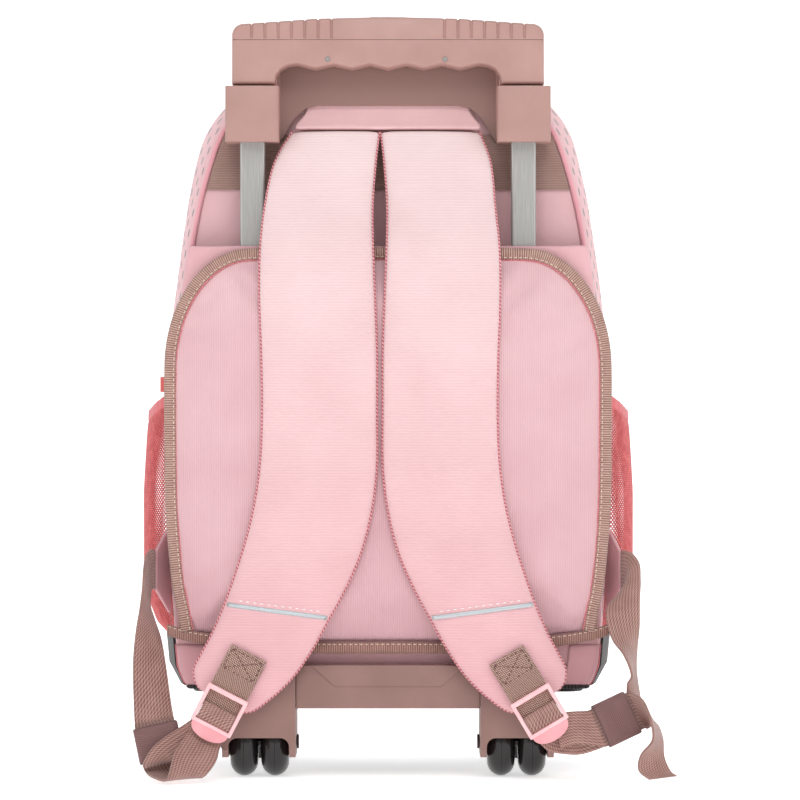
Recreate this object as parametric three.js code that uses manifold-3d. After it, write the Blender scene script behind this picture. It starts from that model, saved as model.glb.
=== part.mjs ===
// A school backpack on wheels, seen from its carrying side: a soft hollow bag on a two tube
// telescopic trolley, with padded shoulder straps, a padded back and a mesh pocket on each side.
// Millimetres, +Z up. X runs across the bag, -Y is the carrying side, the floor is at z = 0.
import * as THREE from 'three';
import { mergeVertices } from 'three/addons/utils/BufferGeometryUtils.js';
import Module from 'manifold-3d';

const wasm = await Module();
wasm.setup();

// Fits
const gap = 0.3;

// Bag body
const bodyHalf = 150;
const bodyBottom = 60;
const bodyHeight = 427;
const bodyBack = 19;
const shellDepth = 100;
const seamTuck = 5;
const gussetSwell = 7;
const shoulderSwell = 7;
const clothWall = 2.5;
const zipWidth = 11.4;
const zipStand = 0.8;
const lidDepth = 54;
const slider = { wide: 8, deep: 9, thick: 3, apart: 24 };
const skirtHeight = 35;
const skirtWall = 1.5;

// Trolley tubes
const tubeSpread = 92.8;
const outerTube = { wide: 17, deep: 11, wall: 1.2, bottom: 54, top: 469.1 };
const innerTube = { wide: 13, deep: 7, wall: 1, bottom: 60 };
const tubeCorner = 2;

// Grip
const gripHalf = 106.7;
const gripBottom = 473.7;
const gripTall = 41.6;
const gripRise = 4.7;
const gripLegTall = 13.6;
const gripLeg = 29.5;
const gripDeep = 24;
const gripBevel = 4;
const gripCorner = 8;
const fingerDip = 3;
const fingerHalf = 62;
const fingerRidges = 5;
const socketDepth = 15;
const grooveWidth = 1.7;
const grooveDepth = 1.2;
const grooveTall = 10.3;
const grooveFirst = 38.6;
const groovePitch = 9.1;
const grooveCount = 7;
const buttonWide = 26;
const buttonDeep = 12;
const buttonThick = 3.3;

// Corner caps and the wall between them
const capWide = 36.7;
const capBottom = 434.3;
const capHeight = 38.1;
const capFront = -14.5;
const capBack = 16;
const capRoof = 3;
const wallThick = 3.4;
const wallTop = 500;
const wallArch = 461;
const wallArchHalf = 48;

// Wheels and their housings
const wheelRadius = 23.5;
const wheelWide = 19.2;
const wheelShoulder = 13.5;
const twinGap = 2;
const wheelSideGap = 0.5;
const axleY = 6;
const axleRadius = 3;
const axleHead = 5;
const axleHeadThick = 1.5;
const wheelBore = axleRadius + 0.6;
const housingCentre = 88;
const housingWall = 4.3;
const housingFront = -22;
const housingLip = 14.4;
const housingShelf = 56;
const housingTop = 77.5;
const housingBack = 35;
const housingToe = { deep: 6, tall: 5.6 };
const housingHeel = { deep: 13, tall: 11.6 };
const blockBack = 17;
const wellTop = 50;
const frontPlate = 3;
const plateLip = 28;
const plateRound = 6;
const crossbarBottom = 48;
const crossbarFront = -20;
const crossbarThick = 10;
const crossbarRelief = 1.2;
const reliefField = { top: 0.84, foot: 0.58, tall: 14.3 };

// Base plate and front feet
const trayThick = 3;
const trayHalf = 135;
const trayBack = 165;
const footY = 140;
const footWide = 30;
const footDeep = 24;
const footTaper = 6;

// Cloth on the back
const bandBottom = 403;
const bandTop = 441;
const bandThick = 1.5;
const sleeveFront = -9;
const sleeveWall = 2;
const sleeveTop = 363;
const sleeveInset = 1.5;
const notchClear = 1.5;
const panelHalf = 152.8;
const panelBottom = 88.9;
const panelHeight = 272.8;
const panelCornerWide = 59;
const panelCornerTall = 82;
const panelEdge = 3;
const panelCrown = 13.3;
const bindingWide = 8;
const bindingThick = 3.2;

// Shoulder harness
const harnessCentre = -5.5;
const strapTop = 443;
const strapDrop = 397;
const strapReach = 125.8;
const strapRoot = 11.5;
const strapStand = 38.5;
const strapThick = 12;
const topFlare = 8;
const yokeHalf = 64;
const yokeThick = 2;
const stripeWide = 3;
const stripeThick = 0.6;

// Webbing, buckles and keepers
const webWide = 27;
const webThick = 1.6;
const buckleWide = 30;
const buckleTall = 27.5;
const buckleThick = 4;
const buckleTab = 7.8;
const buckleSide = 2.7;
const buckleBars = { top: 3.4, middle: 2.4, low: 2.7 };
const buckleFront = -48;
const keeperLong = 24;
const keeperWall = 1.2;

// Side wings, pockets and tab
const wingThick = 2;
const wingRoot = 62;
const wingTip = 26;
const wingMid = 141;
const pocketStart = 28;
const pocketEnd = 112;
const pocketBottom = 96;
const pocketTop = 263;
const pocketBulge = 13;
const pocketWall = 1.5;
const rimTall = 8;
const rimGap = 0.95;
const rimDip = 12;
const tabLong = 8;
const tabTall = 10.5;

const colours = {
  pink: 0xe8bfc2,
  strapPink: 0xf1cbcd,
  mauve: 0xa87b72,
  taupe: 0xa17c72,
  darkTaupe: 0x7b5e5b,
  steel: 0xb0afac,
  black: 0x1c1a1b,
  wheel: 0x2a2627,
  coral: 0xd97872,
  bucklePink: 0xf8b8bf,
  grey: 0xbec3c7,
};

const bag = new THREE.Group();

function addPiece(name, geometry, colour, roughness = 0.85, metalness = 0) {
  const material = new THREE.MeshStandardMaterial({ color: colour, roughness, metalness });
  const mesh = new THREE.Mesh(facingOut(geometry), material);
  mesh.name = name;
  bag.add(mesh);
}

// Shared vertices are merged, slivers dropped and the faces turned to point out.
function facingOut(source) {
  const plain = source.clone();
  plain.deleteAttribute('normal');
  plain.deleteAttribute('uv');
  const merged = mergeVertices(plain, 1e-4);
  const old = merged.index.array;
  const at = merged.attributes.position;
  const corner = (i) => new THREE.Vector3().fromBufferAttribute(at, i);
  const kept = [];
  let volume = 0;
  for (let f = 0; f < old.length; f += 3) {
    const [a, b, c] = [old[f], old[f + 1], old[f + 2]];
    if (a === b || b === c || c === a) continue;
    kept.push(a, b, c);
    volume += corner(a).dot(corner(b).cross(corner(c)));
  }
  if (volume < 0) kept.reverse();
  merged.setIndex(kept);
  merged.computeVertexNormals();
  return merged;
}

function solidOf(geometry) {
  const closed = facingOut(geometry);
  return new wasm.Manifold(new wasm.Mesh({
    numProp: 3,
    vertProperties: new Float32Array(closed.attributes.position.array),
    triVerts: new Uint32Array(closed.index.array),
  }));
}

function geometryOf(solid) {
  const mesh = solid.getMesh();
  const geometry = new THREE.BufferGeometry();
  geometry.setAttribute('position', new THREE.BufferAttribute(mesh.vertProperties, 3));
  geometry.setIndex(new THREE.BufferAttribute(mesh.triVerts, 1));
  return geometry;
}

function block(x0, x1, y0, y1, z0, z1) {
  const geometry = new THREE.BoxGeometry(x1 - x0, y1 - y0, z1 - z0);
  return geometry.translate((x0 + x1) / 2, (y0 + y1) / 2, (z0 + z1) / 2);
}

function roundedRectangle(wide, tall, corner, Kind = THREE.Shape) {
  const [w, h] = [wide / 2, tall / 2];
  const outline = new Kind();
  outline.moveTo(w - corner, -h);
  outline.absarc(w - corner, -h + corner, corner, -Math.PI / 2, 0, false);
  outline.absarc(w - corner, h - corner, corner, 0, Math.PI / 2, false);
  outline.absarc(-w + corner, h - corner, corner, Math.PI / 2, Math.PI, false);
  outline.absarc(-w + corner, -h + corner, corner, Math.PI, Math.PI * 1.5, false);
  return outline;
}

// An outline drawn in x and y, given its height along z.
function upright(shape, tall, curveSegments) {
  return new THREE.ExtrudeGeometry(shape, { depth: tall, bevelEnabled: false, curveSegments });
}

// An outline drawn in x and z, given its depth along y.
function plate(shape, y0, y1, curveSegments = 3) {
  return upright(shape, y1 - y0, curveSegments).rotateX(Math.PI / 2).translate(0, y1, 0);
}

// An outline drawn in y and z, given its length along x.
function rail(shape, x0, x1) {
  const geometry = new THREE.ExtrudeGeometry(shape, { depth: x1 - x0, bevelEnabled: false });
  const axes = new THREE.Matrix4().makeBasis(
    new THREE.Vector3(0, 1, 0),
    new THREE.Vector3(0, 0, 1),
    new THREE.Vector3(1, 0, 0),
  );
  return geometry.applyMatrix4(axes).translate(x0, 0, 0);
}

// A skin through rings of equal count, closed by its two end rings, or end to end as a hoop.
function loft(rings, hoop = false) {
  const count = rings[0].length;
  const faces = [];
  const spans = hoop ? rings.length : rings.length - 1;
  for (let r = 0; r < spans; r += 1) {
    const near = r * count;
    const far = ((r + 1) % rings.length) * count;
    for (let i = 0; i < count; i += 1) {
      const j = (i + 1) % count;
      faces.push(near + i, near + j, far + j, near + i, far + j, far + i);
    }
  }
  if (!hoop) {
    faces.push(...ringCap(rings[0], 0, -1));
    faces.push(...ringCap(rings[rings.length - 1], (rings.length - 1) * count, 1));
  }
  const geometry = new THREE.BufferGeometry();
  const positions = rings.flat().flatMap((p) => [p.x, p.y, p.z]);
  geometry.setAttribute('position', new THREE.Float32BufferAttribute(positions, 3));
  geometry.setIndex(faces);
  return geometry;
}

function ringCap(ring, start, side) {
  const normal = new THREE.Vector3();
  ring.forEach((p, i) => normal.add(p.clone().cross(ring[(i + 1) % ring.length])));
  normal.normalize();
  const steady = Math.abs(normal.z) < 0.9 ? new THREE.Vector3(0, 0, 1) : new THREE.Vector3(1, 0, 0);
  const across = steady.cross(normal).normalize();
  const up = normal.clone().cross(across);
  const flat = ring.map((p) => new THREE.Vector2(p.dot(across), p.dot(up)));
  return THREE.ShapeUtils.triangulateShape(flat, []).flatMap(([a, b, c]) => {
    const turn = flat[b].clone().sub(flat[a]).cross(flat[c].clone().sub(flat[a]));
    return turn * side > 0 ? [start + a, start + b, start + c] : [start + a, start + c, start + b];
  });
}

// A flat band along stations: at is its centre, across its width direction, share its width.
function ribbon(stations, wide, thick, steps = 4) {
  const edgeCurve = (which) => new THREE.CatmullRomCurve3(stations.map((s) => {
    if (s.edges) return new THREE.Vector3(...s.edges[which]);
    const half = new THREE.Vector3(...s.across).setLength(wide * (s.share ?? 1) / 2);
    return half.multiplyScalar(which ? -1 : 1).add(new THREE.Vector3(...s.at));
  }));
  const [first, second] = [edgeCurve(0), edgeCurve(1)];
  const count = (stations.length - 1) * steps;
  const rings = [];
  for (let k = 0; k <= count; k += 1) {
    const [a, b] = [first.getPoint(k / count), second.getPoint(k / count)];
    const along = first.getTangent(k / count).add(second.getTangent(k / count));
    const lift = along.cross(a.clone().sub(b)).setLength(thick / 2);
    rings.push([a.clone().add(lift), b.clone().add(lift), b.clone().sub(lift), a.clone().sub(lift)]);
  }
  return loft(rings);
}

// Half outline of the bag: up is a share of its height, wide a share of its half width.
const bodyRows = [
  { up: 0, wide: 0.87 },
  { up: 0.007, wide: 0.93 },
  { up: 0.035, wide: 0.965 },
  { up: 0.094, wide: 0.98 },
  { up: 0.187, wide: 0.995 },
  { up: 0.304, wide: 1 },
  { up: 0.422, wide: 1 },
  { up: 0.539, wide: 0.985 },
  { up: 0.632, wide: 0.953 },
  { up: 0.719, wide: 0.92 },
  { up: 0.785, wide: 0.885 },
  { up: 0.843, wide: 0.84 },
  { up: 0.89, wide: 0.793 },
  { up: 0.925, wide: 0.73 },
  { up: 0.956, wide: 0.64 },
  { up: 0.979, wide: 0.5 },
  { up: 0.995, wide: 0.3 },
];

function rowsAt(rows, column, key, value) {
  const last = rows.length - 1;
  let k = 1;
  while (k < last && rows[k][column] < value) k += 1;
  const [a, b] = [rows[k - 1], rows[k]];
  const t = THREE.MathUtils.clamp((value - a[column]) / (b[column] - a[column]), 0, 1);
  return THREE.MathUtils.lerp(a[key], b[key], t);
}

const bodyHalfAt = (z) => bodyHalf * rowsAt(bodyRows, 'up', 'wide', (z - bodyBottom) / bodyHeight);

// A half outline, bottom to top, mirrored into a closed one with its top point on the centre line.
function mirrored(half, top) {
  const left = half.map((p) => new THREE.Vector2(-p.x, p.y)).reverse();
  return top ? [...half, top, ...left] : [...half, ...left];
}

// The outline moved outwards by a distance, square to each edge.
function grown(outline, distance) {
  const { length } = outline;
  return outline.map((p, i) => {
    const into = p.clone().sub(outline[(i + length - 1) % length]).normalize();
    const out = outline[(i + 1) % length].clone().sub(p).normalize();
    const a = new THREE.Vector2(into.y, -into.x);
    const middle = new THREE.Vector2(out.y, -out.x).add(a).normalize();
    return p.clone().addScaledVector(middle, distance / middle.dot(a));
  });
}

const bodyOutline = mirrored(
  bodyRows.map(({ up, wide }) => new THREE.Vector2(bodyHalf * wide, bodyBottom + bodyHeight * up)),
  new THREE.Vector2(0, bodyBottom + bodyHeight),
);

// The outline swollen to the sides and the top, and more at the shoulders, but not at the base.
function swollen(share) {
  const full = grown(bodyOutline, gussetSwell);
  return bodyOutline.map((p, i) => {
    const up = (p.y - bodyBottom) / bodyHeight;
    const shoulder = shoulderSwell * THREE.MathUtils.smoothstep(up, 0.75, 0.95);
    const side = (full[i].x - p.x) / gussetSwell;
    return new THREE.Vector2(
      p.x + side * share * (gussetSwell + Math.max(share, 0) * shoulder),
      p.y + Math.max(full[i].y - p.y, 0) * share,
    );
  });
}

const ringAt = (outline, y) => outline.map((p) => new THREE.Vector3(p.x, y, p.y));

// Main compartment: back wall, gusset and open front rim. Back is a share of the shell's depth.
const shellRows = [
  { back: 0, swell: -seamTuck / gussetSwell },
  { back: 0.06, swell: 0 },
  { back: 0.25, swell: 0.64 },
  { back: 0.5, swell: 1 },
  { back: 0.75, swell: 1 },
  { back: 1, swell: 0.71 },
];
const rimSwell = shellRows[shellRows.length - 1].swell;
const gussetAt = (y) => gussetSwell * rowsAt(shellRows, 'back', 'swell', (y - bodyBack) / shellDepth);

function shellGeometry() {
  const outer = shellRows.map(({ back, swell }) => ringAt(swollen(swell), bodyBack + shellDepth * back));
  const inner = shellRows.map(({ back, swell }) => {
    const y = bodyBack + Math.max(shellDepth * back, clothWall);
    return ringAt(grown(swollen(swell), -clothWall), y);
  });
  return loft([...outer, ...inner.reverse()]);
}
addPiece('bag_shell', shellGeometry(), colours.pink);

// Zip band round the opening, between the shell's rim and the front lid.
const zipFront = bodyBack + shellDepth + gap;
const zipBack = zipFront + zipWidth;
function zipGeometry() {
  const outer = grown(swollen(rimSwell), zipStand);
  outer.forEach((p) => { p.y = Math.max(p.y, bodyBottom); });
  const inner = grown(swollen(rimSwell), -clothWall);
  const rings = [[outer, zipFront], [outer, zipBack], [inner, zipBack], [inner, zipFront]];
  return loft(rings.map(([outline, y]) => ringAt(outline, y)), true);
}
addPiece('zip_band', zipGeometry(), colours.pink);

// Front lid, a crowned tub that opens towards the shell. Out and wide are shares.
const lidRows = [
  { out: 0, wide: 1 },
  { out: 0.37, wide: 1 },
  { out: 0.65, wide: 0.985 },
  { out: 0.83, wide: 0.94 },
  { out: 0.95, wide: 0.84 },
  { out: 1, wide: 0.6 },
];
const lidStart = zipBack + gap;
const lidOutline = swollen(rimSwell);
const bodyMiddle = new THREE.Vector2(0, bodyBottom + bodyHeight / 2);
function drawnIn(outline, share, middle = bodyMiddle) {
  return outline.map((p) => p.clone().sub(middle).multiplyScalar(share).add(middle));
}

function lidGeometry() {
  const outer = lidRows.map(({ out, wide }) => ringAt(drawnIn(lidOutline, wide), lidStart + lidDepth * out));
  const lined = grown(lidOutline, -clothWall);
  const inner = lidRows.map(({ out, wide }) => {
    const y = lidStart + Math.min(lidDepth * out, lidDepth - clothWall);
    return ringAt(drawnIn(lined, wide), y - (out > 0 ? clothWall * out : 0));
  });
  return loft([...outer.reverse(), ...inner]);
}
addPiece('front_lid', lidGeometry(), colours.pink);

// Black skirt round the foot of the sides and the front.
function bodySolid(distance) {
  const back = shellRows.map(({ back: b, swell }) => {
    return ringAt(grown(swollen(swell), distance), bodyBack + shellDepth * b);
  });
  const front = lidRows.map(({ out, wide }) => {
    const reach = distance * (out > 0.8 ? 1 : 0);
    return ringAt(grown(drawnIn(lidOutline, wide), distance), lidStart + lidDepth * out + reach);
  });
  return solidOf(loft([...back, ...front]));
}
function skirtGeometry() {
  const start = bodyBack + 0.06 * shellDepth;
  const inside = zipStand + gap;
  const band = block(-2 * bodyHalf, 2 * bodyHalf, start, 3 * bodyHalf, bodyBottom, bodyBottom + skirtHeight);
  return geometryOf(bodySolid(inside + skirtWall).subtract(bodySolid(inside)).intersect(solidOf(band)));
}
addPiece('base_skirt', skirtGeometry(), colours.black);

// Two zip sliders meet at the top centre.
const zipTop = bodyBottom + bodyHeight + gussetSwell * rimSwell + zipStand;
for (const [side, name] of [[-1, 'left'], [1, 'right']]) {
  const pull = new THREE.BoxGeometry(slider.wide, slider.deep, slider.thick);
  pull.translate(side * slider.apart / 2, (zipFront + zipBack) / 2, zipTop + gap + slider.thick / 2);
  addPiece(`zip_slider_${name}`, pull, colours.coral, 0.5);
}

// Telescopic tubes
function tubeGeometry({ wide, deep, wall }, z0, z1) {
  const section = roundedRectangle(wide, deep, tubeCorner);
  section.holes.push(roundedRectangle(wide - 2 * wall, deep - 2 * wall, tubeCorner / 2, THREE.Path));
  return upright(section, z1 - z0, 2).translate(0, 0, z0);
}
const innerTop = gripBottom + socketDepth - gap;
for (const [side, name] of [[-1, 'left'], [1, 'right']]) {
  const outer = tubeGeometry(outerTube, outerTube.bottom, outerTube.top).translate(side * tubeSpread, 0, 0);
  const inner = tubeGeometry(innerTube, innerTube.bottom, innerTop).translate(side * tubeSpread, 0, 0);
  addPiece(`outer_tube_${name}`, outer, colours.steel, 0.35, 0.8);
  addPiece(`inner_tube_${name}`, inner, colours.steel, 0.3, 0.8);
}

const gripShoulder = gripBottom + gripTall;
const gripUnder = gripBottom + gripLegTall;
const grooveFloor = gripShoulder - grooveTall;

// Grip: arched top, finger waves below, grooves at both ends and a socket in each leg.
const gripTopAt = (x) => gripShoulder + gripRise * (1 - (x / (gripHalf - gripCorner)) ** 2);
function gripGeometry() {
  const leg = gripHalf - gripLeg;
  const outline = new THREE.Shape();
  outline.moveTo(-gripHalf, gripBottom);
  outline.lineTo(-leg, gripBottom);
  outline.quadraticCurveTo(-leg, gripUnder, -fingerHalf, gripUnder);
  const steps = 4 * fingerRidges;
  for (let k = 1; k <= steps; k += 1) {
    const x = THREE.MathUtils.lerp(-fingerHalf, fingerHalf, k / steps);
    outline.lineTo(x, gripUnder - fingerDip * Math.sin((k / steps) * Math.PI * fingerRidges) ** 2);
  }
  outline.quadraticCurveTo(leg, gripUnder, leg, gripBottom);
  outline.lineTo(gripHalf, gripBottom);
  outline.lineTo(gripHalf, gripShoulder - gripCorner);
  outline.absarc(gripHalf - gripCorner, gripShoulder - gripCorner, gripCorner, 0, Math.PI / 2, false);
  outline.quadraticCurveTo(0, gripShoulder + 2 * gripRise, -gripHalf + gripCorner, gripShoulder);
  outline.absarc(-gripHalf + gripCorner, gripShoulder - gripCorner, gripCorner, Math.PI / 2, Math.PI, false);
  const bar = new THREE.ExtrudeGeometry(outline, {
    depth: gripDeep - 2 * gripBevel,
    bevelThickness: gripBevel,
    bevelSize: 2,
    bevelOffset: -2,
    bevelSegments: 2,
    curveSegments: 4,
  });
  bar.rotateX(Math.PI / 2).translate(0, gripDeep / 2 - gripBevel, 0);
  let solid = solidOf(bar);
  for (const side of [-1, 1]) {
    const [w, d] = [innerTube.wide / 2 + gap, innerTube.deep / 2 + gap];
    const socket = block(-w, w, -d, d, gripBottom - 1, gripBottom + socketDepth);
    solid = solid.subtract(solidOf(socket.translate(side * tubeSpread, 0, 0)));
    for (let k = 0; k < grooveCount; k += 1) {
      const x = side * (grooveFirst + k * groovePitch);
      const [half, depth] = [grooveWidth / 2, gripDeep / 2 - grooveDepth];
      const cut = solidOf(block(x - half, x + half, -gripDeep, gripDeep, grooveFloor, wallTop + gripDeep));
      const core = solidOf(block(x - 2, x + 2, -depth, depth, grooveFloor - 1, gripTopAt(x) - grooveDepth));
      solid = solid.subtract(cut.subtract(core));
    }
  }
  const [w, d] = [buttonWide / 2 + gap, buttonDeep / 2 + gap];
  const recess = block(-w, w, -d, d, gripTopAt(0) - buttonThick, gripTopAt(0) + 5);
  return geometryOf(solid.subtract(solidOf(recess)));
}
addPiece('grip', gripGeometry(), colours.mauve, 0.55);

const button = upright(roundedRectangle(buttonWide, buttonDeep, 3), buttonThick, 3);
addPiece('release_button', button.translate(0, 0, gripTopAt(0) - buttonThick + gap), colours.mauve, 0.5);

// Corner caps on the outer tubes, in one moulding with the wall between them.
const capTop = capBottom + capHeight;
function bridgeGeometry() {
  const [inner, outer] = [tubeSpread - capWide / 2, tubeSpread + capWide / 2];
  const wall = new THREE.Shape();
  wall.moveTo(inner + 2, capBottom);
  wall.lineTo(inner + 2, wallTop);
  wall.lineTo(-inner - 2, wallTop);
  wall.lineTo(-inner - 2, capBottom);
  wall.bezierCurveTo(-inner + 6, capBottom + 5, -inner + 8, wallArch, -wallArchHalf, wallArch);
  wall.lineTo(wallArchHalf, wallArch);
  wall.bezierCurveTo(inner - 8, wallArch, inner - 6, capBottom + 5, inner + 2, capBottom);
  let solid = solidOf(plate(wall, capBack - wallThick, capBack, 5));
  for (const side of [-1, 1]) {
    const section = roundedRectangle(outer - inner, capBack - capFront, 3);
    const cap = upright(section, capHeight, 2);
    cap.translate(side * tubeSpread, (capFront + capBack) / 2, capBottom);
    const [ow, od] = [outerTube.wide / 2 + gap, outerTube.deep / 2 + gap];
    const [iw, id] = [innerTube.wide / 2 + gap, innerTube.deep / 2 + gap];
    const socket = block(-ow, ow, -od, od, capBottom - 1, capTop - capRoof);
    const mouth = block(-iw, iw, -id, id, capBottom, capTop + 1);
    solid = solid.add(solidOf(cap));
    for (const hole of [socket, mouth]) {
      solid = solid.subtract(solidOf(hole.translate(side * tubeSpread, 0, 0)));
    }
  }
  return geometryOf(solid);
}
addPiece('top_bridge', bridgeGeometry(), colours.mauve, 0.55);

// Wheel housings, each a well for twin wheels under a block that holds a tube.
const wellHalf = wheelWide + twinGap / 2 + wheelSideGap;
const housingHalf = wellHalf + housingWall;
function housingGeometry(side) {
  const profile = new THREE.Shape();
  profile.moveTo(housingFront, housingTop);
  profile.lineTo(housingFront, housingLip + housingToe.tall);
  profile.lineTo(housingFront + housingToe.deep, housingLip);
  profile.lineTo(housingBack - housingHeel.deep, housingLip);
  profile.lineTo(housingBack, housingLip + housingHeel.tall);
  profile.lineTo(housingBack, housingShelf);
  profile.lineTo(blockBack, housingShelf);
  profile.lineTo(blockBack, housingTop);
  const shellSolid = solidOf(rail(profile, -housingHalf, housingHalf));
  const well = block(-wellHalf, wellHalf, housingFront + frontPlate, housingBack - frontPlate, 0, wellTop);
  const arch = new THREE.Shape();
  arch.moveTo(-wellHalf, 0);
  arch.lineTo(wellHalf, 0);
  arch.lineTo(wellHalf, plateLip - plateRound);
  arch.absarc(wellHalf - plateRound, plateLip - plateRound, plateRound, 0, Math.PI / 2, false);
  arch.absarc(plateRound - wellHalf, plateLip - plateRound, plateRound, Math.PI / 2, Math.PI, false);
  const mouth = plate(arch, housingFront - 1, housingFront + frontPlate + 1, 3);
  const pin = new THREE.CylinderGeometry(axleRadius + gap, axleRadius + gap, 3 * housingHalf, 12);
  pin.rotateZ(Math.PI / 2).translate(0, axleY, wheelRadius);
  const [w, d] = [outerTube.wide / 2 + gap, outerTube.deep / 2 + gap];
  const offset = side * (tubeSpread - housingCentre);
  const socket = block(offset - w, offset + w, -d, d, outerTube.bottom - gap, housingTop + 1);
  let solid = shellSolid.subtract(solidOf(well)).subtract(solidOf(mouth));
  solid = solid.subtract(solidOf(pin)).subtract(solidOf(socket));
  return geometryOf(solid).translate(side * housingCentre, 0, 0);
}

function axleGeometry() {
  const reach = housingHalf + gap;
  const profile = [
    [0, -reach - axleHeadThick],
    [axleHead, -reach - axleHeadThick],
    [axleHead, -reach],
    [axleRadius, -reach],
    [axleRadius, reach],
    [axleHead, reach],
    [axleHead, reach + axleHeadThick],
    [0, reach + axleHeadThick],
  ].map(([r, x]) => new THREE.Vector2(r, x));
  return new THREE.LatheGeometry(profile, 12).rotateZ(-Math.PI / 2);
}

function wheelGeometry() {
  const half = wheelWide / 2;
  const profile = [new THREE.Vector2(wheelBore, -half)];
  const arcs = 8;
  for (let k = 0; k <= arcs; k += 1) {
    const angle = Math.PI * (k / arcs - 0.5);
    const radius = wheelShoulder + (wheelRadius - wheelShoulder) * Math.cos(angle);
    profile.push(new THREE.Vector2(radius, half * Math.sin(angle)));
  }
  profile.push(new THREE.Vector2(wheelBore, half), new THREE.Vector2(wheelBore, -half));
  return new THREE.LatheGeometry(profile, 20).rotateZ(-Math.PI / 2);
}

for (const [side, name] of [[-1, 'left'], [1, 'right']]) {
  addPiece(`wheel_housing_${name}`, housingGeometry(side), colours.mauve, 0.55);
  const axle = axleGeometry().translate(side * housingCentre, axleY, wheelRadius);
  addPiece(`axle_${name}`, axle, colours.black, 0.4);
  for (const [place, label] of [[-1, 'outer'], [1, 'inner']]) {
    const x = side * (housingCentre - place * (wheelWide + twinGap) / 2);
    const wheel = wheelGeometry().translate(x, axleY, wheelRadius);
    addPiece(`wheel_${name}_${label}`, wheel, colours.wheel, 0.25);
  }
}

// Crossbar between the housings, with a raised field on its front.
function crossbarGeometry() {
  const half = housingCentre - housingHalf - gap;
  const field = new THREE.Shape();
  field.moveTo(-reliefField.top * half, housingTop);
  field.lineTo(-reliefField.foot * half, housingTop - reliefField.tall);
  field.lineTo(reliefField.foot * half, housingTop - reliefField.tall);
  field.lineTo(reliefField.top * half, housingTop);
  const bar = block(-half, half, crossbarFront, crossbarFront + crossbarThick, crossbarBottom, housingTop);
  const raised = plate(field, crossbarFront - crossbarRelief, crossbarFront + 1);
  return geometryOf(solidOf(bar).add(solidOf(raised)));
}
addPiece('base_crossbar', crossbarGeometry(), colours.mauve, 0.55);

// Base plate under the bag and the two front feet.
const trayTop = bodyBottom - 0.5;
const trayFront = blockBack + 0.5;
const trayOutline = roundedRectangle(2 * trayHalf, trayBack - trayFront, 14);
const tray = upright(trayOutline, trayThick, 3);
tray.translate(0, (trayFront + trayBack) / 2, trayTop - trayThick);
addPiece('base_tray', tray, colours.black, 0.6);

for (const [side, name] of [[-1, 'left'], [1, 'right']]) {
  const footAt = (z, shrink) => {
    const [w, d] = [(footWide - shrink) / 2, (footDeep - shrink) / 2];
    return [[-w, -d], [w, -d], [w, d], [-w, d]].map(([x, y]) => {
      return new THREE.Vector3(side * housingCentre + x, footY + y, z);
    });
  };
  const footTop = trayTop - trayThick - gap;
  addPiece(`front_foot_${name}`, loft([footAt(0, footTaper), footAt(footTop, 0)]), colours.black, 0.6);
}

// Woven band across the upper back wall.
function acrossShape(z0, z1, inset, rows) {
  const half = [];
  for (let k = 0; k <= rows; k += 1) {
    const z = THREE.MathUtils.lerp(z0, z1, k / rows);
    half.push(new THREE.Vector2(bodyHalfAt(z) - inset, z));
  }
  return new THREE.Shape(mirrored(half));
}
const bandShape = acrossShape(bandBottom, bandTop, seamTuck + gap, 2);
addPiece('back_band', plate(bandShape, bodyBack - gap - bandThick, bodyBack - gap), colours.taupe);

// Sleeve over the tubes: a front layer turned back to the side seams, open at its top.
function sleeveGeometry() {
  const base = bodyBottom + 1;
  const outside = solidOf(plate(acrossShape(base, sleeveTop, sleeveInset, 8), sleeveFront, bodyBack - gap));
  const hollow = acrossShape(base + sleeveWall, sleeveTop + 20, sleeveInset + sleeveWall, 8);
  const inside = solidOf(plate(hollow, sleeveFront + sleeveWall, bodyBack + 1));
  const notchHalf = housingCentre + housingHalf + notchClear;
  const notch = block(-notchHalf, notchHalf, 2 * sleeveFront, 2 * bodyBack, 0, housingTop + 0.5);
  return geometryOf(outside.subtract(inside).subtract(solidOf(notch)));
}
addPiece('back_sleeve', sleeveGeometry(), colours.pink);

// Padded back panel with a flat margin for its binding. Up and wide are shares of the panel.
const panelRows = [
  { up: 0, wide: 0.334 },
  { up: 0.011, wide: 0.654 },
  { up: 0.022, wide: 0.811 },
  { up: 0.039, wide: 0.926 },
  { up: 0.092, wide: 0.942 },
  { up: 0.145, wide: 0.962 },
  { up: 0.245, wide: 0.982 },
  { up: 0.37, wide: 0.996 },
  { up: 0.554, wide: 1 },
];
const panelTop = panelBottom + panelHeight;
function panelHalfOutline() {
  const half = panelRows.map(({ up, wide }) => {
    return new THREE.Vector2(panelHalf * wide, panelBottom + panelHeight * up);
  });
  const steps = 7;
  for (let k = 0; k <= steps; k += 1) {
    const angle = (Math.PI / 2) * (k / steps);
    half.push(new THREE.Vector2(
      panelHalf + panelCornerWide * (Math.cos(angle) - 1),
      panelTop + panelCornerTall * (Math.sin(angle) - 1),
    ));
  }
  return half;
}
const panelOutline = mirrored(panelHalfOutline());
const panelBack = sleeveFront - 0.5;
const panelMargin = panelBack - panelEdge;
const crownRows = [
  { inset: 0, wide: 1, rise: -panelEdge / panelCrown },
  { inset: 0, wide: 1, rise: 0 },
  { inset: bindingWide + gap, wide: 1, rise: 0 },
  { inset: bindingWide + 3, wide: 0.99, rise: 0.45 },
  { inset: bindingWide + 3, wide: 0.91, rise: 0.7 },
  { inset: bindingWide + 3, wide: 0.7, rise: 0.8 },
];
const panelMiddle = new THREE.Vector2(0, panelBottom + panelHeight / 2);
const panelRings = crownRows.map(({ inset, wide, rise }) => {
  const outline = drawnIn(grown(panelOutline, -inset), wide, panelMiddle);
  return ringAt(outline, panelMargin - panelCrown * rise);
});
addPiece('back_panel', loft(panelRings), colours.pink);

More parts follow.
